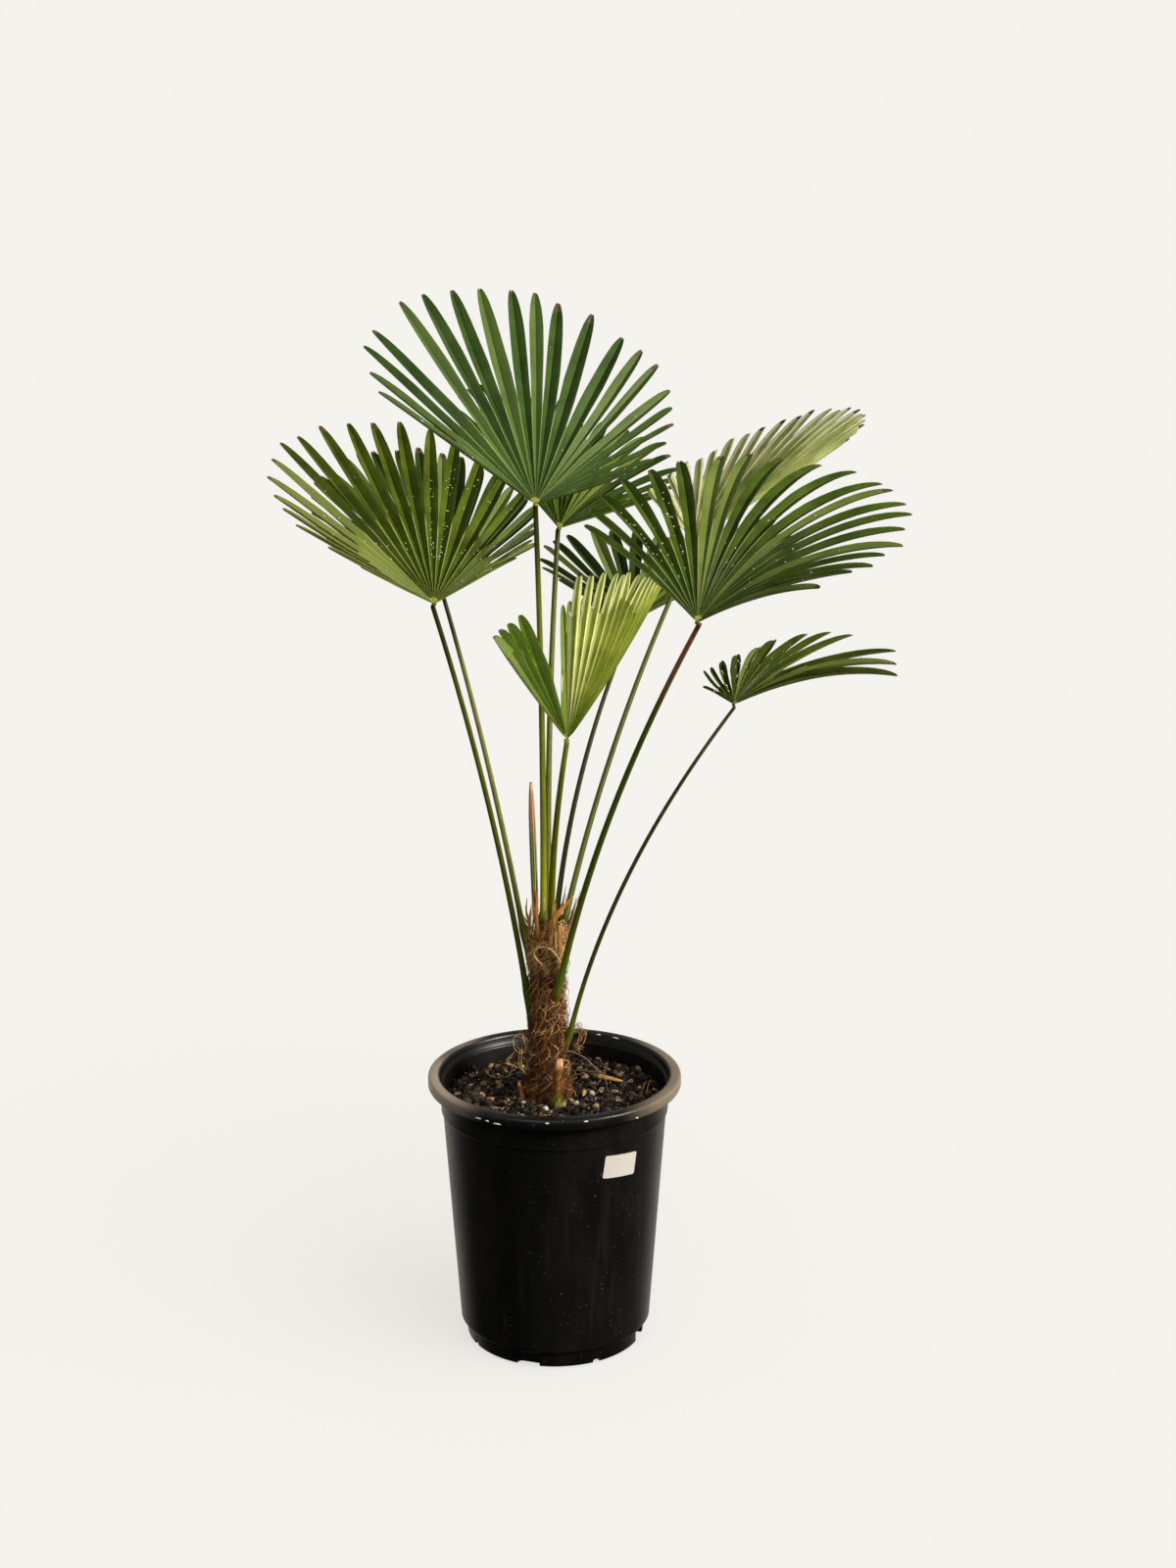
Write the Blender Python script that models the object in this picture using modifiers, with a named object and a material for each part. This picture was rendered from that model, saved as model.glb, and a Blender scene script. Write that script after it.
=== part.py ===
"""Potted dwarf windmill palm: nine fan leaves on long stalks, a short fibrous trunk
and a black nursery pot filled with soil. Metres, +Z up, the pot standing at the origin.

Directions are given as on a map of the plant: heading 0 is +X (right), 90 is +Y (back),
270 is -Y (front). A leaf's pitch is how far its middle finger rises from the level.
"""
import math
import random

import bmesh
import bpy
from mathutils import Vector

# Pot
POT_HEIGHT = 0.3085
RIM_RADIUS = 0.140
RIM_DEPTH = 0.0125
RIM_ROUND = 0.0020
RIM_INNER_RADIUS = 0.1268
LEDGE_RADIUS = 0.1254
LEDGE_RISE = 0.0015
LEDGE_SLOPE = 0.0010
BODY_TOP_RADIUS = 0.1258
STEP_HEIGHT = 0.2665
STEP_DEPTH = 0.0018
BODY_FOOT_RADIUS = 0.1065
FOOT_RADIUS = 0.0995
FOOT_HEIGHT = 0.016
FOOT_SLOPE = 0.005
POT_WALL = 0.0025
POT_FLOOR = 0.0045
POT_STEPS = 48
NOTCHES = 8
NOTCH_HEADING = 73.0
NOTCH_SIZES = ((0.026, 0.018), (0.009, 0.005))
NOTCH_DEPTH = 0.009

# Blank label stuck on the pot
LABEL_WIDTH = 0.040
LABEL_HEIGHT = 0.026
LABEL_THICKNESS = 0.0005
LABEL_CENTRE_HEIGHT = 0.240
LABEL_HEADING = 306.0
LABEL_COLUMNS = 6

# Soil
SOIL_TOP = 0.280
GAP = 0.0003

# Trunk
TRUNK_FOOT = Vector((-0.0065, 0.0, SOIL_TOP + GAP))
TRUNK_TOP = Vector((-0.0085, 0.001, 0.477))
TRUNK_SIDES = 18
TRUNK_RINGS = 15
TRUNK_FLARE_RADIUS = 0.0275
TRUNK_WAIST_RADIUS = 0.0178
TRUNK_CROWN_RADIUS = 0.0195
TRUNK_FLARE_SHARE = 0.12
TRUNK_CROWN_SHARE = 0.80
TRUNK_TOP_SHARE = 0.80
TRUNK_BUMP = 0.0012
TRUNK_BUMPS_ROUND = 3.0
TRUNK_BUMP_TWIST = 9.0
TRUNK_BUMP_ROWS = 40.0

# Unopened leaf, cut stalk and pointed sheaths: foot, tip and the widest radius
SPEAR = (Vector((-0.0200, 0.003, 0.481)), Vector((-0.0245, 0.001, 0.640)), 0.0040)
STUB = (Vector((0.0015, -0.0365, 0.283)), Vector((0.0060, -0.0355, 0.337)), 0.0056)
SHEATHS = {
    "left": (Vector((-0.0275, -0.0190, 0.466)), Vector((-0.0240, -0.0175, 0.509)), 0.0028),
    "front": (Vector((-0.0185, -0.0230, 0.470)), Vector((-0.0172, -0.0200, 0.531)), 0.0034),
    "right": (Vector((-0.0030, -0.0250, 0.473)), Vector((0.0215, -0.0230, 0.520)), 0.0042),
}
SPEAR_SHAPE = (0.75, 1.0, 0.95, 0.8, 0.55, 0.18)
STUB_SHAPE = (1.25, 1.0, 0.8, 0.7)

# Stalks
STALK_BASE_RADIUS = 0.0034
STALK_TIP_RADIUS = 0.0026
STALK_POINTS = 14

# Fan blades
FOLD_ANGLE = 34.0
FREE_FOLD_ANGLE = 28.0
FREE_STATIONS = (0.42, 0.82, 1.0)
FINGER_SHAPE = (1.0, 0.74, 0.26)
FINGER_WIDTH = 0.0175
FINGER_FILL = 0.86
BLADE_THICKNESS_SHARE = 0.0102
STEP_JITTER = 0.22
SPLIT_JITTER = 0.10
LENGTH_JITTER = 0.03
PATH_STEPS = 12


class Leaf:
    """One fan leaf: where its stalk starts, where its hub is and how the fan lies.

    The bow pulls the stalk's middle sideways, in x and y. Each gap is the finger it follows,
    how many steps wider it is and its share of the split.
    """

    def __init__(self, name, seed, base, hub, bow, heading, pitch, roll, spread, fingers,
                 reach, shorten, lift, cup, droop, skew=0.0, split=0.46, width=FINGER_WIDTH,
                 gaps=()):
        self.name = name
        self.base = Vector(base)
        self.hub = Vector(hub)
        self.bow = Vector((*bow, 0.0))
        self.spread = spread
        self.reach = reach
        self.shorten = shorten
        self.lift = lift
        self.cup = cup
        self.droop = droop
        self.skew = skew
        self.split = split
        self.width = width
        self.along, self.normal, self.side = fan_axes(heading, pitch, roll)
        dice = random.Random(seed)
        steps = [1.0 + dice.uniform(-STEP_JITTER, STEP_JITTER) for _ in range(fingers - 1)]
        self.splits = [split * (1.0 + dice.uniform(-SPLIT_JITTER, SPLIT_JITTER))
                       for _ in range(fingers + 1)]
        self.lengths = [1.0 + dice.uniform(-LENGTH_JITTER, LENGTH_JITTER) for _ in range(fingers)]
        for after, wider, depth in gaps:
            steps[after] += wider
            self.splits[after + 1] = split * depth
        self.step = 2.0 * spread / sum(steps)
        self.angles = [-spread + self.step * sum(steps[:i]) for i in range(fingers)]
        self.edges = ([-spread - self.step / 2.0]
                      + [(a + b) / 2.0 for a, b in zip(self.angles, self.angles[1:])]
                      + [spread + self.step / 2.0])
        longest = reach * max(self.relative(angle) for angle in self.angles)
        self.thickness = longest * BLADE_THICKNESS_SHARE

    def relative(self, angle):
        """A finger's length as a share of the leaf's reach."""
        off = angle / self.spread
        return (1.0 - self.shorten * min(1.0, abs(off)) ** 2) * (1.0 + self.skew * off)


def fan_axes(heading, pitch, roll):
    """The fan's middle direction, the normal of its upper face and its right-hand side."""
    heading, pitch, roll = (math.radians(v) for v in (heading, pitch, roll))
    along = Vector((math.cos(pitch) * math.cos(heading), math.cos(pitch) * math.sin(heading),
                    math.sin(pitch)))
    level = Vector((-math.sin(pitch) * math.cos(heading), -math.sin(pitch) * math.sin(heading),
                    math.cos(pitch)))
    normal = level * math.cos(roll) + along.cross(level) * math.sin(roll)
    return along, normal, along.cross(normal)


LEAVES = [
    Leaf("top", 1, base=(-0.0115, -0.004, 0.481), hub=(-0.018, 0.030, 0.937),
         bow=(0.005, -0.002), heading=79, pitch=40, roll=12, spread=75, fingers=22,
         reach=0.280, shorten=0.47, lift=0, cup=21, droop=-0.1, skew=-0.34,
         gaps=((3, 0.9, 0.7), (11, 0.4, 0.8), (14, 0.4, 0.8))),
    Leaf("left", 2, base=(-0.0300, -0.004, 0.403), hub=(-0.125, 0.000, 0.836),
         bow=(0.016, 0.0), heading=116, pitch=35, roll=3, spread=75, fingers=22,
         reach=0.278, shorten=0.64, lift=0, cup=21, droop=-0.046, skew=0.06),
    Leaf("left_back", 3, base=(-0.0340, 0.010, 0.470), hub=(-0.121, 0.100, 0.830),
         bow=(0.010, -0.003), heading=112, pitch=11, roll=2, spread=75, fingers=22,
         reach=0.219, shorten=0.42, lift=25, cup=17, droop=-0.055, skew=0.02),
    Leaf("back", 4, base=(-0.0060, 0.008, 0.481), hub=(0.0049, 0.200, 0.884),
         bow=(-0.008, -0.010), heading=86, pitch=33, roll=21, spread=64, fingers=20,
         reach=0.255, shorten=0.50, lift=0, cup=22, droop=0.30, skew=-0.05),
    Leaf("right_front", 5, base=(0.0065, -0.0200, 0.4195), hub=(0.1447, -0.170, 0.850),
         bow=(-0.029, 0.012), heading=44, pitch=52, roll=9, spread=65, fingers=21,
         reach=0.252, shorten=0.36, lift=0, cup=24, droop=0.73, skew=0.02),
    Leaf("right_back", 6, base=(0.0110, 0.000, 0.481), hub=(0.158, 0.256, 0.861),
         bow=(-0.027, -0.019), heading=314, pitch=43, roll=0, spread=55, fingers=15,
         reach=0.232, shorten=0.17, lift=0, cup=6, droop=0.0, skew=-0.17),
    Leaf("young", 7, base=(-0.0030, -0.012, 0.481), hub=(0.0155, -0.070, 0.706),
         bow=(-0.008, 0.0), heading=41, pitch=-11, roll=-3, spread=133, fingers=22,
         reach=0.178, shorten=0.0, lift=63, cup=45, droop=-0.27, skew=0.26,
         split=0.74, width=0.017, gaps=((3, 2.5, 0.3),)),
    Leaf("low_back", 8, base=(0.0020, 0.009, 0.481), hub=(0.088, 0.255, 0.767),
         bow=(-0.028, -0.015), heading=89, pitch=19, roll=-1, spread=74, fingers=19,
         reach=0.193, shorten=0.68, lift=6, cup=21, droop=0.05, skew=-0.13),
    Leaf("low_right", 9, base=(0.0170, -0.006, 0.355), hub=(0.191, -0.020, 0.732),
         bow=(-0.046, 0.002), heading=54, pitch=-1, roll=-7, spread=78, fingers=13,
         reach=0.130, shorten=0.10, lift=31, cup=22, droop=0.23, skew=0.59),
]


def clear_scene():
    for old in list(bpy.data.objects):
        bpy.data.objects.remove(old, do_unlink=True)


def material(name, colour, roughness, metallic=0.0):
    made = bpy.data.materials.new(name)
    made.use_nodes = True
    shader = made.node_tree.nodes["Principled BSDF"]
    shader.inputs["Base Color"].default_value = (*colour, 1.0)
    shader.inputs["Roughness"].default_value = roughness
    shader.inputs["Metallic"].default_value = metallic
    return made


def place(name, data, collection, finish=None):
    made = bpy.data.objects.new(name, data)
    collection.objects.link(made)
    if finish is not None:
        data.materials.append(finish)
    return made


def turned(name, profile, steps, collection, finish):
    """A solid of revolution: the profile goes up inside, over the top and down outside."""
    mesh = bpy.data.meshes.new(name)
    edges = [(i, i + 1) for i in range(len(profile) - 1)]
    mesh.from_pydata([(radius, 0.0, height) for radius, height in profile], edges, [])
    made = place(name, mesh, collection, finish)
    screw = made.modifiers.new("turn", "SCREW")
    screw.steps = steps
    screw.render_steps = steps
    screw.use_merge_vertices = True
    screw.merge_threshold = 0.00005
    screw.use_smooth_shade = True
    return made


def box(name, size, centre, heading, collection):
    mesh = bpy.data.meshes.new(name)
    shape = bmesh.new()
    bmesh.ops.create_cube(shape, size=1.0)
    bmesh.ops.scale(shape, vec=size, verts=shape.verts)
    shape.to_mesh(mesh)
    shape.free()
    made = place(name, mesh, collection)
    made.location = centre
    made.rotation_euler = (0.0, 0.0, heading)
    return made


def tube(name, points, radii, collection, finish):
    """A tapering rod with closed ends along the given points."""
    curve = bpy.data.curves.new(name, "CURVE")
    curve.dimensions = "3D"
    curve.bevel_depth = 1.0
    curve.bevel_resolution = 2
    curve.use_fill_caps = True
    spline = curve.splines.new("POLY")
    spline.points.add(len(points) - 1)
    for point, where, radius in zip(spline.points, points, radii):
        point.co = (*where, 1.0)
        point.radius = radius
    return place(name, curve, collection, finish)


def body_radius(height):
    """Outer radius of the pot's tapering body below its moulded step."""
    share = (height - FOOT_HEIGHT - FOOT_SLOPE) / (STEP_HEIGHT - FOOT_HEIGHT - FOOT_SLOPE)
    return BODY_FOOT_RADIUS + (BODY_TOP_RADIUS - STEP_DEPTH - BODY_FOOT_RADIUS) * share


def pot(collection, cutters, finish):
    """A turned shell with a broad rim, a step under it and a notched foot."""
    rim_under = POT_HEIGHT - RIM_DEPTH
    ledge = rim_under + LEDGE_RISE
    slope_top = FOOT_HEIGHT + FOOT_SLOPE
    profile = [
        (0.0, POT_FLOOR),
        (FOOT_RADIUS - POT_WALL, POT_FLOOR),
        (FOOT_RADIUS - POT_WALL, FOOT_HEIGHT + POT_WALL),
        (BODY_FOOT_RADIUS - POT_WALL, slope_top + POT_WALL),
        (body_radius(STEP_HEIGHT) - POT_WALL, STEP_HEIGHT),
        (BODY_TOP_RADIUS - POT_WALL, ledge),
        (LEDGE_RADIUS, ledge + LEDGE_SLOPE),
        (RIM_INNER_RADIUS, POT_HEIGHT - RIM_ROUND),
        (RIM_INNER_RADIUS + RIM_ROUND, POT_HEIGHT),
        (RIM_RADIUS - RIM_ROUND, POT_HEIGHT),
        (RIM_RADIUS, POT_HEIGHT - RIM_ROUND),
        (RIM_RADIUS, rim_under + RIM_ROUND),
        (RIM_RADIUS - RIM_ROUND, rim_under),
        (BODY_TOP_RADIUS, rim_under),
        (BODY_TOP_RADIUS, STEP_HEIGHT + STEP_DEPTH),
        (body_radius(STEP_HEIGHT), STEP_HEIGHT),
        (BODY_FOOT_RADIUS, slope_top),
        (FOOT_RADIUS, FOOT_HEIGHT),
        (FOOT_RADIUS, 0.0),
        (0.0, 0.0),
    ]
    made = turned("pot", profile, POT_STEPS, collection, finish)
    for i in range(NOTCHES):
        heading = math.radians(NOTCH_HEADING) + math.tau * i / NOTCHES
        centre = (FOOT_RADIUS * math.cos(heading), FOOT_RADIUS * math.sin(heading), 0.0)
        width, height = NOTCH_SIZES[i % 2]
        size = (2.0 * NOTCH_DEPTH, width, 2.0 * height)
        cutter = box(f"notch_{i + 1}", size, centre, heading, cutters)
        cutter.hide_render = True
        cutter.display_type = "WIRE"
        cut = made.modifiers.new(cutter.name, "BOOLEAN")
        cut.operation = "DIFFERENCE"
        cut.object = cutter


def label(collection, finish):
    """A blank sticker that follows the pot's round body."""
    mesh = bpy.data.meshes.new("label")
    shape = bmesh.new()
    rows = []
    for height in (-LABEL_HEIGHT / 2.0, LABEL_HEIGHT / 2.0):
        level = LABEL_CENTRE_HEIGHT + height
        radius = body_radius(level) + GAP
        row = []
        for i in range(LABEL_COLUMNS + 1):
            across = LABEL_WIDTH * (i / LABEL_COLUMNS - 0.5)
            heading = math.radians(LABEL_HEADING) + across / radius
            row.append(shape.verts.new((radius * math.cos(heading), radius * math.sin(heading), level)))
        rows.append(row)
    for i in range(LABEL_COLUMNS):
        shape.faces.new((rows[0][i], rows[0][i + 1], rows[1][i + 1], rows[1][i]))
    shape.to_mesh(mesh)
    shape.free()
    made = place("label", mesh, collection, finish)
    wall = made.modifiers.new("thickness", "SOLIDIFY")
    wall.thickness = LABEL_THICKNESS
    wall.offset = 1.0


def soil(collection, finish):
    """The root ball and potting mix, a fraction clear of the pot's wall and floor."""
    inset = POT_WALL + 2.0 * GAP
    slope_top = FOOT_HEIGHT + FOOT_SLOPE
    profile = [
        (0.0, SOIL_TOP),
        (BODY_TOP_RADIUS - STEP_DEPTH - inset, SOIL_TOP),
        (body_radius(STEP_HEIGHT) - inset, STEP_HEIGHT - GAP),
        (BODY_FOOT_RADIUS - inset, slope_top + POT_WALL + 2.0 * GAP),
        (FOOT_RADIUS - inset, FOOT_HEIGHT + POT_WALL + 2.0 * GAP),
        (FOOT_RADIUS - inset, POT_FLOOR + GAP),
        (0.0, POT_FLOOR + GAP),
    ]
    turned("soil", profile, POT_STEPS, collection, finish)


def trunk_radius(share):
    """Flared foot, narrower middle and a crown swollen by leaf bases."""
    flare = (TRUNK_FLARE_RADIUS - TRUNK_WAIST_RADIUS) * math.exp(-share / TRUNK_FLARE_SHARE)
    crown = ((TRUNK_CROWN_RADIUS - TRUNK_WAIST_RADIUS)
             * min(1.0, share / TRUNK_CROWN_SHARE) ** 3)
    return TRUNK_WAIST_RADIUS + flare + crown


def trunk(collection, finish):
    """Rings of a lumpy, leaning stem from the flat cut at the soil to a rounded top."""
    mesh = bpy.data.meshes.new("trunk")
    shape = bmesh.new()
    rings = []
    for row in range(TRUNK_RINGS):
        share = row / (TRUNK_RINGS - 1)
        centre = TRUNK_FOOT.lerp(TRUNK_TOP, share)
        shrink = TRUNK_TOP_SHARE if row == TRUNK_RINGS - 1 else 1.0
        ring = []
        for i in range(TRUNK_SIDES):
            turn = math.tau * i / TRUNK_SIDES
            wave = math.sin(TRUNK_BUMPS_ROUND * turn + TRUNK_BUMP_TWIST * share)
            bump = TRUNK_BUMP * wave * math.cos(TRUNK_BUMP_ROWS * share) if row else 0.0
            out = Vector((math.cos(turn), math.sin(turn), 0.0))
            ring.append(shape.verts.new(centre + out * shrink * (trunk_radius(share) + bump)))
        rings.append(ring)
    for low, high in zip(rings, rings[1:]):
        for i in range(TRUNK_SIDES):
            j = (i + 1) % TRUNK_SIDES
            shape.faces.new((low[i], low[j], high[j], high[i]))
    shape.faces.new(tuple(reversed(rings[0])))
    shape.faces.new(tuple(rings[-1]))
    shape.to_mesh(mesh)
    shape.free()
    place("trunk", mesh, collection, finish)
    mesh.shade_smooth()


def stalk(leaf, collection, finish):
    """A leaf's stalk: a tapering rod that bows from the trunk out to under the hub."""
    tip = leaf.hub - leaf.normal * (leaf.thickness + STALK_TIP_RADIUS + GAP)
    middle = (leaf.base + tip) / 2.0 + leaf.bow
    points, radii = [], []
    for i in range(STALK_POINTS):
        t = i / (STALK_POINTS - 1)
        points.append(leaf.base * (1 - t) ** 2 + middle * (2 * t * (1 - t)) + tip * t ** 2)
        radii.append(STALK_BASE_RADIUS + (STALK_TIP_RADIUS - STALK_BASE_RADIUS) * t)
    tube(f"stalk_{leaf.name}", points, radii, collection, finish)


def spike(name, ends, shape, collection, finish):
    """A short straight tapering piece whose radius follows the given shares."""
    foot, tip, radius = ends
    points = [foot.lerp(tip, i / (len(shape) - 1)) for i in range(len(shape))]
    tube(name, points, [radius * share for share in shape], collection, finish)


def ray(leaf, angle, share):
    """Point of the unfolded fan at an angle off its middle, share of the way to its tip."""
    turn = math.radians(angle)
    off = angle / leaf.spread
    rise = math.radians(leaf.lift + (leaf.cup - leaf.lift) * off * off)
    start = ((leaf.along * math.cos(turn) + leaf.side * math.sin(turn)) * math.cos(rise)
             + leaf.normal * math.sin(rise))
    relative = leaf.relative(angle)
    point = leaf.hub.copy()
    stride = leaf.reach * relative * share / PATH_STEPS
    bend = leaf.droop * relative ** 2
    for i in range(PATH_STEPS):
        t = share * (i + 0.5) / PATH_STEPS
        point += (start - Vector((0.0, 0.0, bend * t))).normalized() * stride
    return point


def fan_frame(leaf, angle, share):
    """A point of the fan with the directions across the finger and out of its upper face."""
    point = ray(leaf, angle, share)
    across = (ray(leaf, angle + 0.5, share) - ray(leaf, angle - 0.5, share)).normalized()
    onward = (ray(leaf, angle, share + 0.01) - ray(leaf, angle, share - 0.01)).normalized()
    return point, across, across.cross(onward).normalized()


def blade(leaf, collection, finish):
    """The pleated fan: fingers joined to their split, each a shallow V that ends blunt."""
    mesh = bpy.data.meshes.new(f"blade_{leaf.name}")
    shape = bmesh.new()
    drop = leaf.thickness

    def pair(point, up):
        return shape.verts.new(point), shape.verts.new(point - up * drop)

    apex = pair(leaf.hub, leaf.normal)
    fused = (0.5, 1.0) if leaf.droop > 0.5 else (1.0,)
    ridges = []
    for angle, split in zip(leaf.edges, leaf.splits):
        column = []
        for share in fused:
            point, across, up = fan_frame(leaf, angle, share * split)
            half = (point - leaf.hub).length * math.sin(math.radians(leaf.step / 2.0))
            column.append(pair(point + up * half * math.tan(math.radians(FOLD_ANGLE)), up))
        ridges.append(column)
    outline = [apex] + ridges[0]
    for i in range(len(leaf.angles)):
        outline += finger(shape, leaf, i, fused, apex, ridges[i], ridges[i + 1], pair)
        outline.append(ridges[i + 1][-1])
    outline += list(reversed(ridges[-1][:-1]))
    for near, far in zip(outline, outline[1:] + outline[:1]):
        shape.faces.new((near[0], far[0], far[1], near[1]))
    bmesh.ops.recalc_face_normals(shape, faces=shape.faces)
    shape.to_mesh(mesh)
    shape.free()
    place(mesh.name, mesh, collection, finish)


def finger(shape, leaf, i, fused, apex, left_ridge, right_ridge, pair):
    """One finger's upper and lower faces. Gives its free outline, left split to right split."""
    angle = leaf.angles[i]
    split = (leaf.splits[i] + leaf.splits[i + 1]) / 2.0
    rows = [(apex, apex, apex)]
    for share, left, right in zip(fused, left_ridge, right_ridge):
        point, across, up = fan_frame(leaf, angle, share * split)
        rows.append((left, pair(point, up), right))
    fold = math.tan(math.radians(FREE_FOLD_ANGLE))
    for station, wide in zip(FREE_STATIONS, FINGER_SHAPE):
        share = split + (1.0 - split) * station * leaf.lengths[i]
        point, across, up = fan_frame(leaf, angle, share)
        row = [None, pair(point, up), None]
        for side, edge in ((0, angle - leaf.edges[i]), (2, leaf.edges[i + 1] - angle)):
            room = (point - leaf.hub).length * math.radians(edge) * FINGER_FILL
            half = wide * min(leaf.width / 2.0, room)
            row[side] = pair(point + across * half * (side - 1) + up * half * fold, up)
        rows.append(tuple(row))
    for near, far in zip(rows, rows[1:]):
        for a, b in ((0, 1), (1, 2)):
            for level in (0, 1):
                corners = []
                for vert in (near[a][level], near[b][level], far[b][level], far[a][level]):
                    if vert not in corners:
                        corners.append(vert)
                shape.faces.new(corners)
    free = rows[len(fused) + 1:]
    return [row[0] for row in free] + [free[-1][1]] + [row[2] for row in reversed(free)]


def main():
    clear_scene()
    plant = bpy.data.collections.new("windmill_palm")
    cutters = bpy.data.collections.new("cutters")
    for made in (plant, cutters):
        bpy.context.scene.collection.children.link(made)
    black = material("pot_black", (0.012, 0.012, 0.013), 0.30)
    paper = material("label_paper", (0.82, 0.81, 0.78), 0.55)
    earth = material("soil_dark", (0.020, 0.015, 0.011), 0.95)
    fibre = material("trunk_fibre", (0.115, 0.055, 0.022), 0.90)
    green = material("leaf_green", (0.055, 0.115, 0.022), 0.42)
    stem = material("stalk_green", (0.060, 0.085, 0.022), 0.40)
    husk = material("sheath_orange", (0.290, 0.120, 0.040), 0.60)
    pot(plant, cutters, black)
    label(plant, paper)
    soil(plant, earth)
    trunk(plant, fibre)
    for leaf in LEAVES:
        stalk(leaf, plant, stem)
        blade(leaf, plant, green)
    spike("spear", SPEAR, SPEAR_SHAPE, plant, green)
    spike("stub", STUB, STUB_SHAPE, plant, husk)
    for name, ends in SHEATHS.items():
        spike(f"sheath_{name}", ends, SPEAR_SHAPE, plant, husk)


if __name__ == "__main__":
    main()
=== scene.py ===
# %% [markdown]
# # A young fan palm in its nursery pot
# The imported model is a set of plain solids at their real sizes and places. This lesson dresses
# them: each step says what the real piece is, how it could be made, and why it is made this way.

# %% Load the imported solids
import math
import random
import bpy
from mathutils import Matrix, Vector, noise


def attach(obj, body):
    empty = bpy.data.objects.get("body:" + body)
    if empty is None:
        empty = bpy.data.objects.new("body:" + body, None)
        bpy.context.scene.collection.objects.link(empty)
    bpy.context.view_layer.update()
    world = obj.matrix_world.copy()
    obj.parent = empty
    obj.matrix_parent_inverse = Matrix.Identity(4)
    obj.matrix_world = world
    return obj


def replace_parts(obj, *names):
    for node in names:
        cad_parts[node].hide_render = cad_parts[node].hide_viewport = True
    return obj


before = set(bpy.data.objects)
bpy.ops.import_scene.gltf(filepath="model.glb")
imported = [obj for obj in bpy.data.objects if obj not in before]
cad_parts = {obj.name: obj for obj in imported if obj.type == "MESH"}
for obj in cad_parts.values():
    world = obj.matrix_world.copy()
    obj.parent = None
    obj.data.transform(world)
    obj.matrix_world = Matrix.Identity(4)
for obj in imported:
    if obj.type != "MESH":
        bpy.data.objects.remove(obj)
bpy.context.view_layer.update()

# %% [markdown]
# ## Camera
# The photograph looks a little down on the plant from 2.6 m. The pot rim's ellipse gives the
# pitch, and the lens follows from the rim's width.

# %% The camera
CAMERA_PLACE = (0.037, -2.60, 1.335)
CAMERA_PITCH = 75.0
LENS = 57.58
camera = bpy.data.objects.new("camera", bpy.data.cameras.new("camera"))
bpy.context.scene.collection.objects.link(camera)
camera.location = CAMERA_PLACE
camera.rotation_euler = (math.radians(CAMERA_PITCH), 0.0, 0.0)
camera.data.lens = LENS
camera.data.sensor_fit = "VERTICAL"
camera.data.sensor_height = 36.0
bpy.context.scene.camera = camera
bpy.context.scene.view_settings.view_transform = "Standard"
print("camera at", CAMERA_PLACE)

# %% [markdown]
# ## Shader maths as plain expressions
# A material's nodes could be added one by one by hand. Here one small class wraps a socket, so
# that a sum of two patterns is written with a plus sign and adds its own Math node. A second
# class adds nodes to a tree, for a material or for the sky.


# %% The socket class
class Wire:
    """A value that flows in a node tree; its operators add Math nodes."""

    def __init__(self, patch, socket):
        self.patch, self.socket = patch, socket

    def maths(self, operation, *others):
        inputs = dict(enumerate((self, *others)))
        made = self.patch.add("ShaderNodeMath", {"operation": operation}, inputs)
        return Wire(self.patch, made.outputs[0])

    def __add__(self, other):
        return self.maths("ADD", other)

    def __sub__(self, other):
        return self.maths("SUBTRACT", other)

    def __rsub__(self, other):
        return self * -1.0 + other

    def __mul__(self, other):
        return self.maths("MULTIPLY", other)

    __radd__ = __add__
    __rmul__ = __mul__

    def ramp(self, low, high):
        """0 below low, 1 above high and smooth between them."""
        made = self.patch.add("ShaderNodeMapRange", {"interpolation_type": "SMOOTHSTEP"},
                              {"Value": self, "From Min": low, "From Max": high})
        return Wire(self.patch, made.outputs[0])


# %% The tree and finish classes
class Patch:
    """A node tree and the ways to add to it."""

    def __init__(self, tree):
        self.tree = tree

    def put(self, node, socket, value):
        if isinstance(value, Wire):
            self.tree.links.new(value.socket, node.inputs[socket])
        elif isinstance(value, tuple) and len(value) == 3 and node.inputs[socket].type == "RGBA":
            node.inputs[socket].default_value = (*value, 1.0)
        else:
            node.inputs[socket].default_value = value

    def add(self, kind, settings, inputs):
        node = self.tree.nodes.new(kind)
        for name, value in settings.items():
            setattr(node, name, value)
        for socket, value in inputs.items():
            self.put(node, socket, value)
        return node

    def axis(self, vector, name):
        return Wire(self, self.add("ShaderNodeSeparateXYZ", {}, {0: vector}).outputs[name])

    def noise(self, vector, scale, detail=3.0, roughness=0.6):
        made = self.add("ShaderNodeTexNoise", {}, {"Vector": vector, "Scale": scale,
                                                   "Detail": detail, "Roughness": roughness})
        return Wire(self, made.outputs[0])

    def mix(self, factor, low, high):
        made = self.add("ShaderNodeMix", {"data_type": "RGBA"}, {0: factor, 6: low, 7: high})
        return Wire(self, made.outputs[2])

    def stretched(self, vector, stretch):
        moved = self.add("ShaderNodeMapping", {}, {"Vector": vector, "Scale": stretch})
        return Wire(self, moved.outputs[0])


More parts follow.
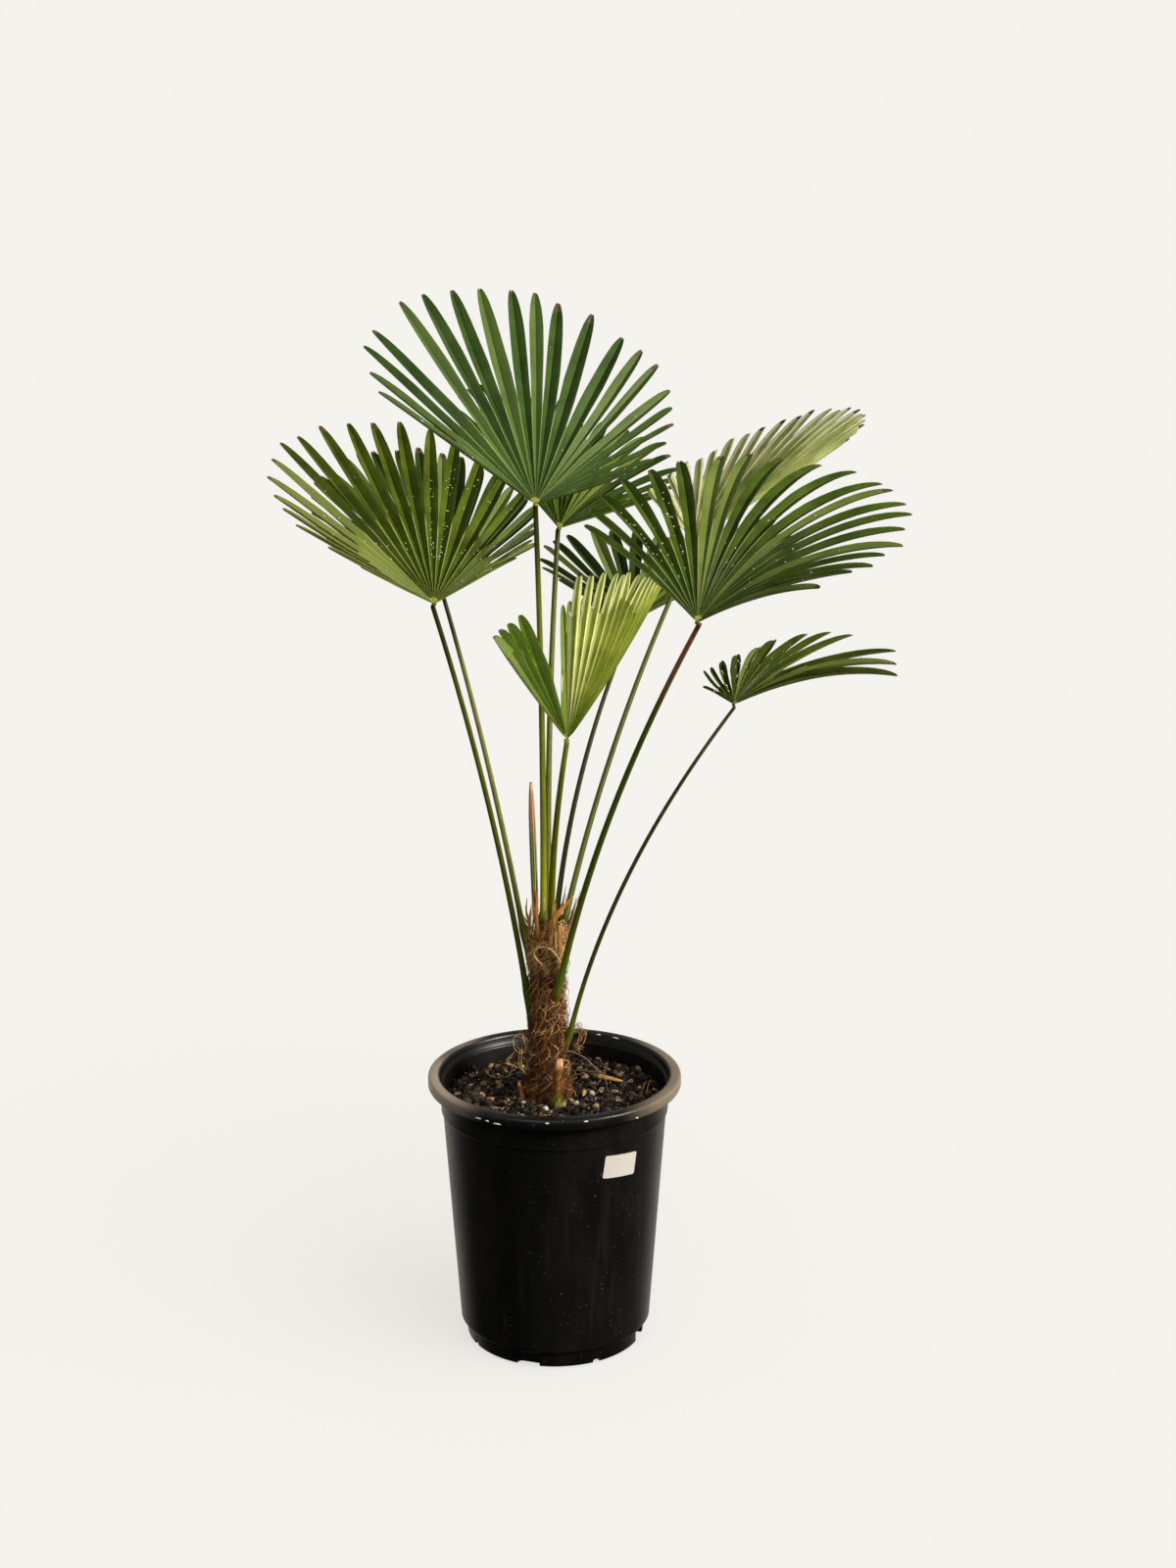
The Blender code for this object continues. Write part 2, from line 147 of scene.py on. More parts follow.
class Finish(Patch):
    """One material: a Principled shader and the nodes that feed it."""

    def __init__(self, name, slot, **fixed):
        self.slot = slot
        self.material = bpy.data.materials.new(name)
        self.material.use_nodes = True
        super().__init__(self.material.node_tree)
        self.shader = self.tree.nodes["Principled BSDF"]
        for socket, value in fixed.items():
            self.put(self.shader, socket.replace("_", " ").title().replace("Ior", "IOR"), value)

    def point(self, stretch=(1.0, 1.0, 1.0)):
        """The place on the object in metres, stretched along its axes."""
        where = self.add("ShaderNodeTexCoord", {}, {})
        return self.stretched(Wire(self, where.outputs["Object"]), stretch)

    def map(self, stretch=(1.0, 1.0, 1.0)):
        """The piece's own UV map: across a leaf finger or stalk and along it."""
        where = self.add("ShaderNodeUVMap", {"uv_map": "UVMap"}, {})
        return self.stretched(Wire(self, where.outputs["UV"]), stretch)

    def colour(self, wire):
        self.put(self.shader, "Base Color", wire)

    def rough(self, wire):
        self.put(self.shader, "Roughness", wire)

    def bump(self, height, distance, strength=1.0):
        made = self.add("ShaderNodeBump", {}, {"Height": height, "Distance": distance,
                                               "Strength": strength})
        self.put(self.shader, "Normal", Wire(self, made.outputs[0]))


def tint(red, green, blue):
    """A colour given in screen values (0 to 255) as the linear values that a shader wants."""
    return tuple(((v / 255 + 0.055) / 1.055) ** 2.4 if v > 10 else v / 255 / 12.92
                 for v in (red, green, blue))


print("helpers ready")

# %% [markdown]
# ## Floor, sky and lamps
# The photograph's backdrop is one even warm white with a small soft shadow at the pot's foot. A
# studio uses a roll of paper that curves up behind. Here a wide floor glows a little, so that it
# stays even out to the horizon, where a narrow band of the sky has the same white. A key lamp
# from the right draws the folds, a weak one fills from the front, and neither lights the floor.
# A broad light from above lights the floor alone. Under the horizon the sky is dark in front
# and pale behind, which gives the black pot its dark sides and the rim its sheen.

# %% The floor and its light
BACKDROP = tint(244, 243, 238)
FLOOR_GLOW = 0.785
FLOOR = Finish("pale_paper", None, base_color=tint(161, 160, 160), roughness=1.0,
               specular_ior_level=0.0, emission_color=BACKDROP, emission_strength=FLOOR_GLOW)
bpy.ops.object.select_all(action="DESELECT")
bpy.ops.mesh.primitive_plane_add(size=400.0)
floor = bpy.context.object
floor.name = "floor"
floor.data.materials.append(FLOOR.material)
floor.visible_glossy = False
floor.visible_diffuse = False


def lit_by(link_state):
    """A list for lamps that takes the floor out of their light or lights the floor alone."""
    made = bpy.data.collections.new(f"floor_{link_state.lower()}")
    made.objects.link(floor)
    made.collection_objects[0].light_linking.link_state = link_state
    return made


NOT_FLOOR, FLOOR_ONLY = lit_by("EXCLUDE"), lit_by("INCLUDE")


def sun(name, toward, energy, softness, colour, lights):
    """A distant lamp whose light comes from the given direction."""
    made = bpy.data.objects.new(name, bpy.data.lights.new(name, "SUN"))
    bpy.context.scene.collection.objects.link(made)
    made.location = toward
    made.rotation_euler = (-Vector(toward)).to_track_quat("-Z", "Y").to_euler()
    made.data.energy = energy
    made.data.color = colour
    made.data.angle = math.radians(softness)
    made.light_linking.receiver_collection = lights
    return made


key = sun("key", (2.5, -1.3, 1.6), 3.9, 18.0, (1.0, 0.95, 0.86), NOT_FLOOR)
sun("front", (-0.8, -2.2, 2.4), 0.7, 30.0, (1.0, 0.97, 0.92), NOT_FLOOR)
sun("ceiling", (0.7, -0.5, 2.0), 1.3, 50.0, (1.0, 0.985, 0.95), FLOOR_ONLY)
sky = bpy.data.worlds.new("sky")
bpy.context.scene.world = sky
sky.use_nodes = True
dome = Patch(sky.node_tree)
direction = Wire(dome, dome.add("ShaderNodeTexCoord", {}, {}).outputs["Generated"])
height = dome.axis(direction, "Z")
above = dome.mix(height.ramp(0.05, 0.16), BACKDROP, tint(112, 112, 108))
below = dome.mix(dome.axis(direction, "Y").ramp(0.3, 0.95), tint(34, 34, 32), tint(210, 204, 192))
lighting = dome.mix(height.ramp(-0.05, -0.02), below, above)
seen = Wire(dome, dome.add("ShaderNodeLightPath", {}, {}).outputs["Is Camera Ray"])
dome.put(sky.node_tree.nodes["Background"], "Color", dome.mix(seen, lighting, BACKDROP))
print("floor, key, ceiling light and sky")

# %% [markdown]
# ## The pot
# The real pot is injection-moulded black plastic: a thin tapering shell, a broad rim, a small
# step under it and a foot with notches that let water out. It could be spun from a profile. Here
# a ring is extruded and resized level by level, as by hand, because each level is then a number
# that can be read off the pot. Cutters take the notches out of the foot. The plastic is glossy
# and nearly black with fine specks of dust, and a pale grey-brown sheen is painted on the rim's
# two sides.

# %% Black plastic
PLASTIC = Finish("black_plastic", "pot_black", roughness=0.3, specular_ior_level=0.4)
cloud = PLASTIC.noise(PLASTIC.point((1.0, 1.0, 0.35)), 20.0, 6.0, 0.65)
dust = PLASTIC.noise(PLASTIC.point(), 320.0, 2.0, 0.5)
worn = PLASTIC.mix(cloud.ramp(0.42, 0.75), tint(13, 13, 12), tint(27, 25, 22))
scuffs = PLASTIC.noise(PLASTIC.point((1.0, 1.0, 0.03)), 60.0, 4.0, 0.6)
worn = PLASTIC.mix(scuffs.ramp(0.58, 0.72) * 0.25, worn, tint(52, 46, 40))
speckled = PLASTIC.mix(dust.ramp(0.70, 0.76), worn, tint(86, 82, 74))
# Painted sheen: the rim's top and outer edge at the left and right are painted pale grey-brown, paler
# on the left
aside = PLASTIC.axis(PLASTIC.point(), "X").maths("ABSOLUTE").ramp(0.070, 0.128)
lip = PLASTIC.axis(PLASTIC.point(), "Z").ramp(0.2955, 0.2985)
east, north = (PLASTIC.axis(PLASTIC.point(), name) for name in "XY")
outer = (east * east + north * north).ramp(0.0163, 0.0170)
painted_rim_sheen = PLASTIC.mix(east.ramp(-0.1, 0.1), tint(182, 166, 148), tint(150, 134, 115))
PLASTIC.colour(PLASTIC.mix(aside * lip * outer * (cloud * 0.5 + 0.6), speckled, painted_rim_sheen))
PLASTIC.rough(cloud * 0.24 + dust * 0.08 + 0.17)
PLASTIC.bump(PLASTIC.noise(PLASTIC.point(), 900.0, 2.0), 0.00005)
INNER = Finish("inner_plastic", "pot_black", roughness=0.5, specular_ior_level=0.1)
veil = INNER.noise(INNER.point(), 60.0, 4.0)
INNER.colour(INNER.mix(veil.ramp(0.4, 0.7), tint(12, 12, 11), tint(27, 25, 22)))
INNER.bump(veil, 0.0001)
print("plastic ready")

# %% Rings of the pot, from the middle of its underside out, up, over the rim and back inside
POT_SIDES = 144
OUTSIDE = [(0.0975, 0.0), (0.0986, 0.0006), (0.0995, 0.0020), (0.0995, 0.0145), (0.1001, 0.0162),
           (0.1056, 0.0202), (0.1065, 0.0215), (0.1066, 0.0235), (0.1237, 0.2645),
           (0.1240, 0.2660), (0.1247, 0.2671), (0.1256, 0.2679), (0.1258, 0.2692),
           (0.1258, 0.2946), (0.1264, 0.2958), (0.1378, 0.2960), (0.1392, 0.2966),
           (0.1400, 0.2980), (0.1400, 0.3055), (0.1396, 0.3071), (0.1386, 0.3081), (0.1370, 0.3085)]
INSIDE = [(0.1292, 0.3085), (0.1277, 0.3081), (0.1269, 0.3071), (0.1266, 0.3055),
          (0.1255, 0.2992), (0.1249, 0.2985), (0.1238, 0.2978), (0.1232, 0.2968),
          (0.1216, 0.2665), (0.1042, 0.0240), (0.0975, 0.0180), (0.0970, 0.0060), (0.0955, 0.0045)]


def only_edges(mesh, test):
    """Leaves only the edges selected whose both ends pass the test."""
    bpy.ops.object.mode_set(mode="OBJECT")
    for part in (mesh.vertices, mesh.edges, mesh.polygons):
        for item in part:
            item.select = False
    for vertex in mesh.vertices:
        vertex.select = test(vertex.co)
    for edge in mesh.edges:
        edge.select = all(mesh.vertices[i].select for i in edge.vertices)
    bpy.ops.object.mode_set(mode="EDIT")


def ring_up(levels, radius, height):
    """Extrudes the selected ring to each next radius and height."""
    for next_radius, next_height in levels:
        bpy.ops.mesh.extrude_edges_move()
        grow = next_radius / radius
        bpy.ops.transform.translate(value=(0.0, 0.0, next_height - height))
        bpy.ops.transform.resize(value=(grow, grow, 1.0), center_override=(0.0, 0.0, 0.0))
        radius, height = next_radius, next_height


bpy.ops.object.select_all(action="DESELECT")
bpy.ops.mesh.primitive_circle_add(vertices=POT_SIDES, radius=OUTSIDE[0][0], fill_type="NGON")
pot = bpy.context.object
pot.name = "pot_shell"
bpy.ops.object.mode_set(mode="EDIT")
bpy.ops.mesh.select_mode(type="EDGE")
bpy.ops.mesh.select_all(action="SELECT")
ring_up(OUTSIDE[1:] + INSIDE, *OUTSIDE[0])
bpy.ops.mesh.edge_face_add()
bpy.ops.mesh.select_all(action="SELECT")
bpy.ops.mesh.normals_make_consistent(inside=False)
bpy.ops.object.mode_set(mode="OBJECT")
print("pot shell:", len(pot.data.polygons), "faces")

# %% Notches in the foot
NOTCHES = 8
NOTCH_HEADING = 73.0
NOTCH_SIZES = ((0.026, 0.018), (0.009, 0.0043))
NOTCH_ROUND = 0.004
FOOT_RADIUS = 0.0995
for i in range(NOTCHES):
    heading = math.radians(NOTCH_HEADING) + math.tau * i / NOTCHES
    wide, tall = NOTCH_SIZES[i % 2]
    middle = (FOOT_RADIUS * math.cos(heading), FOOT_RADIUS * math.sin(heading), 0.0)
    bpy.ops.mesh.primitive_cube_add(size=1.0, location=middle, rotation=(0.0, 0.0, heading),
                                    scale=(0.018, wide, 2.0 * tall))
    cutter = bpy.context.object
    bpy.ops.object.transform_apply(location=False, rotation=False, scale=True)
    rounding = cutter.modifiers.new("rounding", "BEVEL")
    rounding.width = min(NOTCH_ROUND, tall / 2.0)
    rounding.segments = 4
    bpy.ops.object.modifier_apply(modifier="rounding")
    bpy.ops.object.transform_apply(location=True, rotation=True, scale=True)
    cut = pot.modifiers.new("notch", "BOOLEAN")
    cut.object = cutter
    bpy.context.view_layer.objects.active = pot
    bpy.ops.object.modifier_apply(modifier="notch")
    bpy.data.objects.remove(cutter)
bpy.ops.object.select_all(action="DESELECT")
pot.select_set(True)
bpy.ops.object.mode_set(mode="EDIT")
bpy.ops.mesh.select_all(action="SELECT")
bpy.ops.mesh.remove_doubles(threshold=0.00002)
bpy.ops.object.mode_set(mode="OBJECT")
bpy.ops.object.shade_smooth_by_angle(angle=math.radians(35.0))
pot.data.materials.append(PLASTIC.material)
pot.data.materials.append(INNER.material)
for face in pot.data.polygons:
    spot = face.center
    inside = math.hypot(spot.x, spot.y) < 0.1036 + 0.071 * spot.z
    face.material_index = int(inside and 0.03 < spot.z < 0.297)
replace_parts(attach(pot, "root"), "pot")
print("pot with", NOTCHES, "notches:", len(pot.data.polygons), "faces")

# %% [markdown]
# ## The sticker
# A blank paper label with rounded corners sits on the pot's round side. It starts as a flat
# plane: its corners are bevelled, it is cut into upright strips, wrapped round the pot and given
# the thickness of paper.

# %% Paper
PAPER = Finish("label_paper_finish", "label_paper", roughness=0.45)
fibres = PAPER.noise(PAPER.point((1.0, 1.0, 3.0)), 700.0, 4.0)
smudge = PAPER.noise(PAPER.point(), 90.0, 3.0)
paper = PAPER.mix(fibres.ramp(0.4, 0.7), tint(214, 208, 202), tint(228, 222, 215))
PAPER.colour(PAPER.mix(smudge.ramp(0.5, 0.8) * 0.35, paper, tint(188, 186, 184)))
PAPER.bump(fibres, 0.00003)
LABEL_SIZE = (0.042, 0.026)
LABEL_HEIGHT = 0.240
LABEL_HEADING = math.radians(306.0)
LABEL_STRIPS = 12
LABEL_TURN = math.radians(-6.0)


def wall_radius(height):
    """The pot's outer radius on its tapering side."""
    return 0.1065 + 0.0175 * (height - 0.021) / 0.2455


bpy.ops.object.select_all(action="DESELECT")
bpy.ops.mesh.primitive_plane_add(size=1.0)
label = bpy.context.object
label.name = "paper_label"
label.scale = (*LABEL_SIZE, 1.0)
bpy.ops.object.transform_apply(location=False, rotation=False, scale=True)
bpy.ops.object.mode_set(mode="EDIT")
bpy.ops.mesh.select_all(action="SELECT")
bpy.ops.mesh.bevel(offset=0.0018, segments=4, affect="VERTICES")
for i in range(1, LABEL_STRIPS):
    bpy.ops.mesh.select_all(action="SELECT")
    bpy.ops.mesh.bisect(plane_co=(LABEL_SIZE[0] * (i / LABEL_STRIPS - 0.5), 0.0, 0.0),
                        plane_no=(1.0, 0.0, 0.0))
bpy.ops.object.mode_set(mode="OBJECT")
for vertex in label.data.vertices:
    x, y, _ = vertex.co
    height = LABEL_HEIGHT + y * math.cos(LABEL_TURN) + x * math.sin(LABEL_TURN)
    radius = wall_radius(height) + 0.0003
    heading = LABEL_HEADING + (x * math.cos(LABEL_TURN) - y * math.sin(LABEL_TURN)) / radius
    vertex.co = (radius * math.cos(heading), radius * math.sin(heading), height)
wall = label.modifiers.new("thickness", "SOLIDIFY")
wall.thickness = 0.0005
wall.offset = 1.0
bpy.context.view_layer.objects.active = label
bpy.ops.object.modifier_apply(modifier="thickness")
label.data.materials.append(PAPER.material)
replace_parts(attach(label, "root"), "label")
print("label:", len(label.data.polygons), "faces")

# %% [markdown]
# ## Joined small things
# Hundreds of chips, roots and fibres are each only a few faces. Placing them by hand would take
# days, so arrays of points are gathered by seeded random numbers and joined into one mesh a kind.


# %% A gatherer of points and faces
class Gather:
    """Collects rods, blades and lumps, then makes them one piece."""

    def __init__(self):
        self.points, self.faces, self.kinds, self.uvs = [], [], [], []

    def add(self, where):
        self.points.append(tuple(where))
        return len(self.points) - 1

    def face(self, corners, kind=0, uvs=None):
        self.faces.append(corners)
        self.kinds.append(kind)
        self.uvs.extend(uvs or [(0.0, 0.0)] * len(corners))

    def tube(self, path, radii, sides, kind=0, flat=1.0, kinds=None):
        """A closed tapering rod along a path; flat makes it wider than it is deep."""
        rings, side = [], None
        for i, (where, radius) in enumerate(zip(path, radii)):
            ahead = (path[min(i + 1, len(path) - 1)] - path[max(i - 1, 0)]).normalized()
            if side is None:
                side = Vector((1.0, 0.0, 0.0)) if abs(ahead.z) > 0.5 else ahead.orthogonal()
            side = (side - ahead * side.dot(ahead)).normalized()
            other = ahead.cross(side)
            rings.append([self.add(where + (side * math.cos(math.tau * k / sides) * flat
                                            + other * math.sin(math.tau * k / sides)) * radius)
                          for k in range(sides)])
        last = len(rings) - 1
        for i in range(last):
            for k in range(sides):
                j = (k + 1) % sides
                v0, v1, u0, u1 = i / last, (i + 1) / last, k / sides, (k + 1) / sides
                self.face((rings[i][k], rings[i][j], rings[i + 1][j], rings[i + 1][k]),
                          kinds[i] if kinds else kind, [(u0, v0), (u1, v0), (u1, v1), (u0, v1)])
        self.face(tuple(reversed(rings[0])), kinds[0] if kinds else kind)
        self.face(tuple(rings[-1]), kinds[-1] if kinds else kind)

    def strip(self, path, widths, facing, kind=0, thick=0.0006, cup=0.2):
        """A closed papery blade along a path; its middle stands proud of its two edges."""
        rows = []
        for i, (where, width) in enumerate(zip(path, widths)):
            ahead = (path[min(i + 1, len(path) - 1)] - path[max(i - 1, 0)]).normalized()
            across = ahead.cross(facing).normalized()
            out = across.cross(ahead)
            row = []
            for k in range(5):
                u = k / 2.0 - 1.0
                at = where + across * width * u / 2.0 + out * width * cup * (1.0 - u * u)
                row.append((self.add(at), self.add(at - out * thick)))
            rows.append(row)
        for near, far in zip(rows, rows[1:]):
            for k in range(4):
                self.face((near[k][0], near[k + 1][0], far[k + 1][0], far[k][0]), kind)
                self.face((near[k][1], far[k][1], far[k + 1][1], near[k + 1][1]), kind)
            self.face((near[0][1], near[0][0], far[0][0], far[0][1]), kind)
            self.face((near[4][0], near[4][1], far[4][1], far[4][0]), kind)
        for row, flip in ((rows[0], True), (rows[-1], False)):
            cap = [pair[0] for pair in row] + [pair[1] for pair in reversed(row)]
            self.face(tuple(reversed(cap) if flip else cap), kind)

    def lump(self, where, size, squash, rows, sides, rough, kind=0):
        """A closed rough ball: rings of corners that random numbers push in and out."""
        turn, rings = dice.uniform(0.0, math.tau), []
        tall = squash * dice.uniform(0.85, 1.15)
        lean = Vector((dice.uniform(-0.5, 0.5), dice.uniform(-0.5, 0.5), 0.0))
        for row in range(rows):
            up = math.pi * ((row + 0.6) / (rows + 0.2) - 0.5)
            ring = []
            for k in range(sides):
                angle = turn + math.tau * (k + 0.5 * (row % 2)) / sides
                wide = size * math.cos(up) * dice.uniform(1.0 - rough, 1.0 + rough)
                high = size * tall * math.sin(up)
                ring.append(self.add(where + Vector((wide * math.cos(angle),
                                                     wide * math.sin(angle) * squash, high))
                                     + lean * high))
            rings.append(ring)
        for low, high in zip(rings, rings[1:]):
            for k in range(sides):
                j = (k + 1) % sides
                self.face((low[k], low[j], high[j], high[k]), kind)
        self.face(tuple(reversed(rings[0])), kind)
        self.face(tuple(rings[-1]), kind)

    def piece(self, name, finishes, smooth=True, crease=180.0):
        mesh = bpy.data.meshes.new(name)
        mesh.from_pydata(self.points, [], self.faces)
        for finish in finishes:
            mesh.materials.append(finish.material)
        mesh.polygons.foreach_set("material_index", self.kinds)
        layer = mesh.uv_layers.new(name="UVMap")
        layer.data.foreach_set("uv", [v for uv in self.uvs for v in uv])
        if smooth:
            mesh.shade_smooth()
            mesh.set_sharp_from_angle(angle=math.radians(crease))
        mesh.update()
        made = bpy.data.objects.new(name, mesh)
        bpy.context.scene.collection.objects.link(made)
        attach(made, "root")
        print(name, len(self.faces), "faces")
        return made


def smooth_line(points, steps=6):
    """A smooth line through the given points."""
    points = [Vector(p) for p in points]
    points = [points[0] * 2.0 - points[1]] + points + [points[-1] * 2.0 - points[-2]]
    line = []
    for a, b, c, d in zip(points, points[1:], points[2:], points[3:]):
        for k in range(steps):
            t = k / steps
            line.append((b * 2.0 + (c - a) * t + (a * 2.0 - b * 5.0 + c * 4.0 - d) * t ** 2
                         + (b * 3.0 - a - c * 3.0 + d) * t ** 3) / 2.0)
    return line + [points[-2]]


# %% Moulded pips on the pot
dice = random.Random(39)
pips = Gather()
PIP_HEIGHTS = (0.060, 0.050, 0.039)
for group in (59.0, 137.0, 239.0, 317.0):
    for column in (-5.0, 5.0):
        for height in PIP_HEIGHTS:
            heading = math.radians(group + column)
            out = Vector((math.cos(heading), math.sin(heading), 0.0))
            pips.lump(out * wall_radius(height) + Vector((0.0, 0.0, height)),
                      0.0011, 0.9, 4, 8, 0.02)
pips.piece("pot_pips", [PLASTIC])

# %% [markdown]
# ## The potting mix
# Dark, damp bark mix fills the pot to 28 mm under the rim. Its surface is a disc cut finely and
# pushed up and down by noise. Bark chips, crumbs, pebbles and thin roots lie on it, half sunk in.


# %% Earth, bark and pebble finishes
def plain(name, slot, dark, pale, scale, roughness, stretch=(1.0, 1.0, 1.0), depth=0.0003):
    """A finish of two tones that a stretched noise mixes, with the same noise as relief."""
    made = Finish(name, slot, roughness=roughness, specular_ior_level=0.3)
    pattern = made.noise(made.point(stretch), scale, 5.0)
    made.colour(made.mix(pattern.ramp(0.3, 0.7), dark, pale))
    made.bump(pattern, depth)
    return made


EARTH = plain("damp_earth", "soil_dark", tint(7, 5, 4), tint(30, 23, 17), 260.0, 0.9, depth=0.0015)
CHIPS = [plain("bark_black", "soil_dark", tint(7, 5, 4), tint(26, 20, 15), 300.0, 0.6),
         plain("bark_brown", "soil_dark", tint(32, 23, 16), tint(84, 63, 44), 300.0, 0.7),
         plain("bark_grey", "soil_dark", tint(98, 79, 59), tint(158, 131, 102), 300.0, 0.75),
         plain("pebble_tan", "soil_dark", tint(136, 114, 80), tint(186, 162, 122), 200.0, 0.7),
         plain("pebble_pink", "soil_dark", tint(150, 104, 84), tint(190, 146, 124), 200.0, 0.7),
         plain("pebble_white", "soil_dark", tint(176, 166, 148), tint(214, 206, 190), 200.0, 0.7)]
TAN, PINK, WHITE = 3, 4, 5
ROOT = plain("root_pale", "soil_dark", tint(104, 80, 54), tint(160, 132, 96), 500.0, 0.8)
STRAW = plain("straw", "soil_dark", tint(172, 118, 62), tint(222, 170, 106), 300.0, 0.7)
RUST = plain("rusty_stick", "soil_dark", tint(104, 58, 28), tint(168, 100, 54), 300.0, 0.7)
print(4 + len(CHIPS), "finishes of the mix")

# %% The lumpy surface
SOIL_TOP = 0.2800
SOIL_RADIUS = 0.1226
bpy.ops.object.select_all(action="DESELECT")
bpy.ops.mesh.primitive_circle_add(vertices=96, radius=SOIL_RADIUS, fill_type="TRIFAN",
                                  location=(0.0, 0.0, SOIL_TOP - 0.001))
soil = bpy.context.object
soil.name = "soil_surface"
bpy.ops.object.transform_apply(location=True)
bpy.ops.object.mode_set(mode="EDIT")
bpy.ops.mesh.select_all(action="SELECT")
bpy.ops.mesh.subdivide(number_cuts=24)
bpy.ops.object.mode_set(mode="OBJECT")


def swell(x, y):
    """Height of the soil above its level at a point."""
    fade = max(0.0, min(1.0, (SOIL_RADIUS - math.hypot(x, y)) / 0.006))
    spot = Vector((x, y, 0.0))
    return (0.0035 * noise.noise(spot * 38.0) + 0.0025 * noise.noise(spot * 120.0)) * fade


for vertex in soil.data.vertices:
    vertex.co.z += swell(vertex.co.x, vertex.co.y)
only_edges(soil.data, lambda co: math.hypot(co.x, co.y) > SOIL_RADIUS * 0.999)
bpy.ops.mesh.select_mode(type="EDGE")
ring_up([(0.1035, 0.0250), (0.0966, 0.0190), (0.0950, 0.0050)], SOIL_RADIUS, SOIL_TOP - 0.001)
bpy.ops.mesh.edge_face_add()
bpy.ops.mesh.select_all(action="SELECT")
bpy.ops.mesh.normals_make_consistent(inside=False)
bpy.ops.object.mode_set(mode="OBJECT")
soil.data.materials.append(EARTH.material)
soil.data.shade_smooth()
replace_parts(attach(soil, "root"), "soil")
print("soil:", len(soil.data.polygons), "faces")

# %% Chips, crumbs and pebbles
dice = random.Random(40)
crumbs = Gather()
TRUNK_X = -0.0065
PEBBLES = {TAN: ((-0.0744, 0.0848), (-0.0935, 0.0237), (-0.0798, 0.0369), (-0.0636, 0.0339),
                 (0.0483, 0.1062), (0.0725, 0.0546), (0.0939, 0.0742), (0.0939, 0.0164),
                 (0.0183, -0.0198), (-0.0025, -0.0545), (0.0097, -0.0350), (0.0453, -0.0350),
                 (-0.0401, 0.0339), (-0.0382, 0.0796)),
           PINK: ((-0.0807, -0.0067), (-0.0726, -0.0124), (-0.0691, -0.0152)),
           WHITE: ((-0.0096, -0.0490), (0.0414, 0.0031), (0.0240, -0.0250), (-0.0330, -0.0300))}


def spot_on_soil(reach=0.119):
    """A random place on the soil outside the trunk's foot."""
    while True:
        turn, away = dice.uniform(0.0, math.tau), reach * math.sqrt(dice.random())
        x, y = away * math.cos(turn), away * math.sin(turn)
        if math.hypot(x - TRUNK_X, y) > 0.026:
            return Vector((x, y, SOIL_TOP + swell(x, y)))


for _ in range(2700):
    size = 0.0008 + 0.0043 * dice.random() ** 2.5
    spot = spot_on_soil(0.121 - size)
    crumbs.lump(spot + Vector((0.0, 0.0, dice.uniform(-0.1, 1.0) * size)), size,
                dice.uniform(0.4, 0.95), 3, 5, 0.6, dice.choice((0, 0, 0, 0, 0, 0, 1, 1, 1, 2)))
for _ in range(2000):
    size = dice.uniform(0.0005, 0.0011)
    crumbs.lump(spot_on_soil(0.120) + Vector((0.0, 0.0, dice.uniform(0.5, 3.0) * size)), size,
                0.8, 3, 4, 0.4, dice.choice((0, 0, 1, 2, 2, TAN, WHITE)))
for _ in range(60):
    crumbs.lump(spot_on_soil(0.114), dice.uniform(0.0013, 0.0026), 0.8, 4, 6, 0.12,
                dice.choice((TAN, TAN, WHITE)))
for kind, places in PEBBLES.items():
    for x, y in places:
        size = dice.uniform(0.0028, 0.0040)
        crumbs.lump(Vector((x, y, SOIL_TOP + swell(x, y) + 0.80 * size)), size, 0.85, 5, 8, 0.08,
                    kind)
crumbs.piece("soil_crumbs", CHIPS, smooth=False)

# %% Roots, straws and slivers on the mix
LONG_ROOT = ((0.0110, -0.012, 0.3370), (0.0186, -0.005, 0.3342), (0.0327, -0.005, 0.3273),
             (0.0457, -0.005, 0.3146), (0.0554, -0.005, 0.3030), (0.0590, -0.004, 0.2870))
STICK = (Vector((-0.0335, -0.0155, 0.2780)), Vector((-0.0395, -0.0120, 0.3010)))
STRAWS = (((0.1073, 0.0400), (0.1016, -0.0047)), ((0.1026, 0.0369), (0.0943, -0.0198)))
SLIVERS = (((0.0435, 0.0475), (0.0759, 0.0263), 0.0066), ((0.0337, 0.0031), (0.0316, -0.0172), 0.0050))
roots = Gather()
roots.tube(smooth_line(LONG_ROOT), [0.0006] * 28 + [0.0004] * 3, 6)
for _ in range(45):
    start = spot_on_soil(0.100)
    heading = dice.uniform(0.0, math.tau)
    path = [start]
    for step in range(9):
        heading += dice.uniform(-0.6, 0.6)
        ahead = path[-1] + Vector((math.cos(heading), math.sin(heading), 0.0)) * 0.0035
        ahead.z = SOIL_TOP + swell(ahead.x, ahead.y) + 0.004 * math.sin(math.pi * step / 8)
        path.append(ahead)
    if all(math.hypot(p.x, p.y) < 0.118 for p in path):
        roots.tube(path, [0.00035] * 9 + [0.00015], 4)
roots.piece("surface_roots", [ROOT])
slivers = Gather()
for (x0, y0), (x1, y1) in STRAWS:
    middle = ((x0 + x1) / 2.0, (y0 + y1) / 2.0, SOIL_TOP + 0.006)
    slivers.tube(smooth_line(((x0, y0, SOIL_TOP + 0.003), middle, (x1, y1, SOIL_TOP + 0.003))),
                 [0.0006] * 12 + [0.0004], 5)
slivers.tube([STICK[0].lerp(STICK[1], i / 6) for i in range(7)],
             [0.0044, 0.0044, 0.0042, 0.0039, 0.0034, 0.0028, 0.0020], 8,
             kinds=(1, 1, 1, 1, 1, 0), flat=0.8)
for (x0, y0), (x1, y1), wide in SLIVERS:
    ends = (Vector((x0, y0, SOIL_TOP + 0.006)), Vector((x1, y1, SOIL_TOP + 0.007)))
    slivers.strip([ends[0].lerp(ends[1], i / 4) for i in range(5)],
                  [wide * 0.7, wide, wide * 0.9, wide * 0.7, wide * 0.2], Vector((0.3, -0.6, 0.8)))
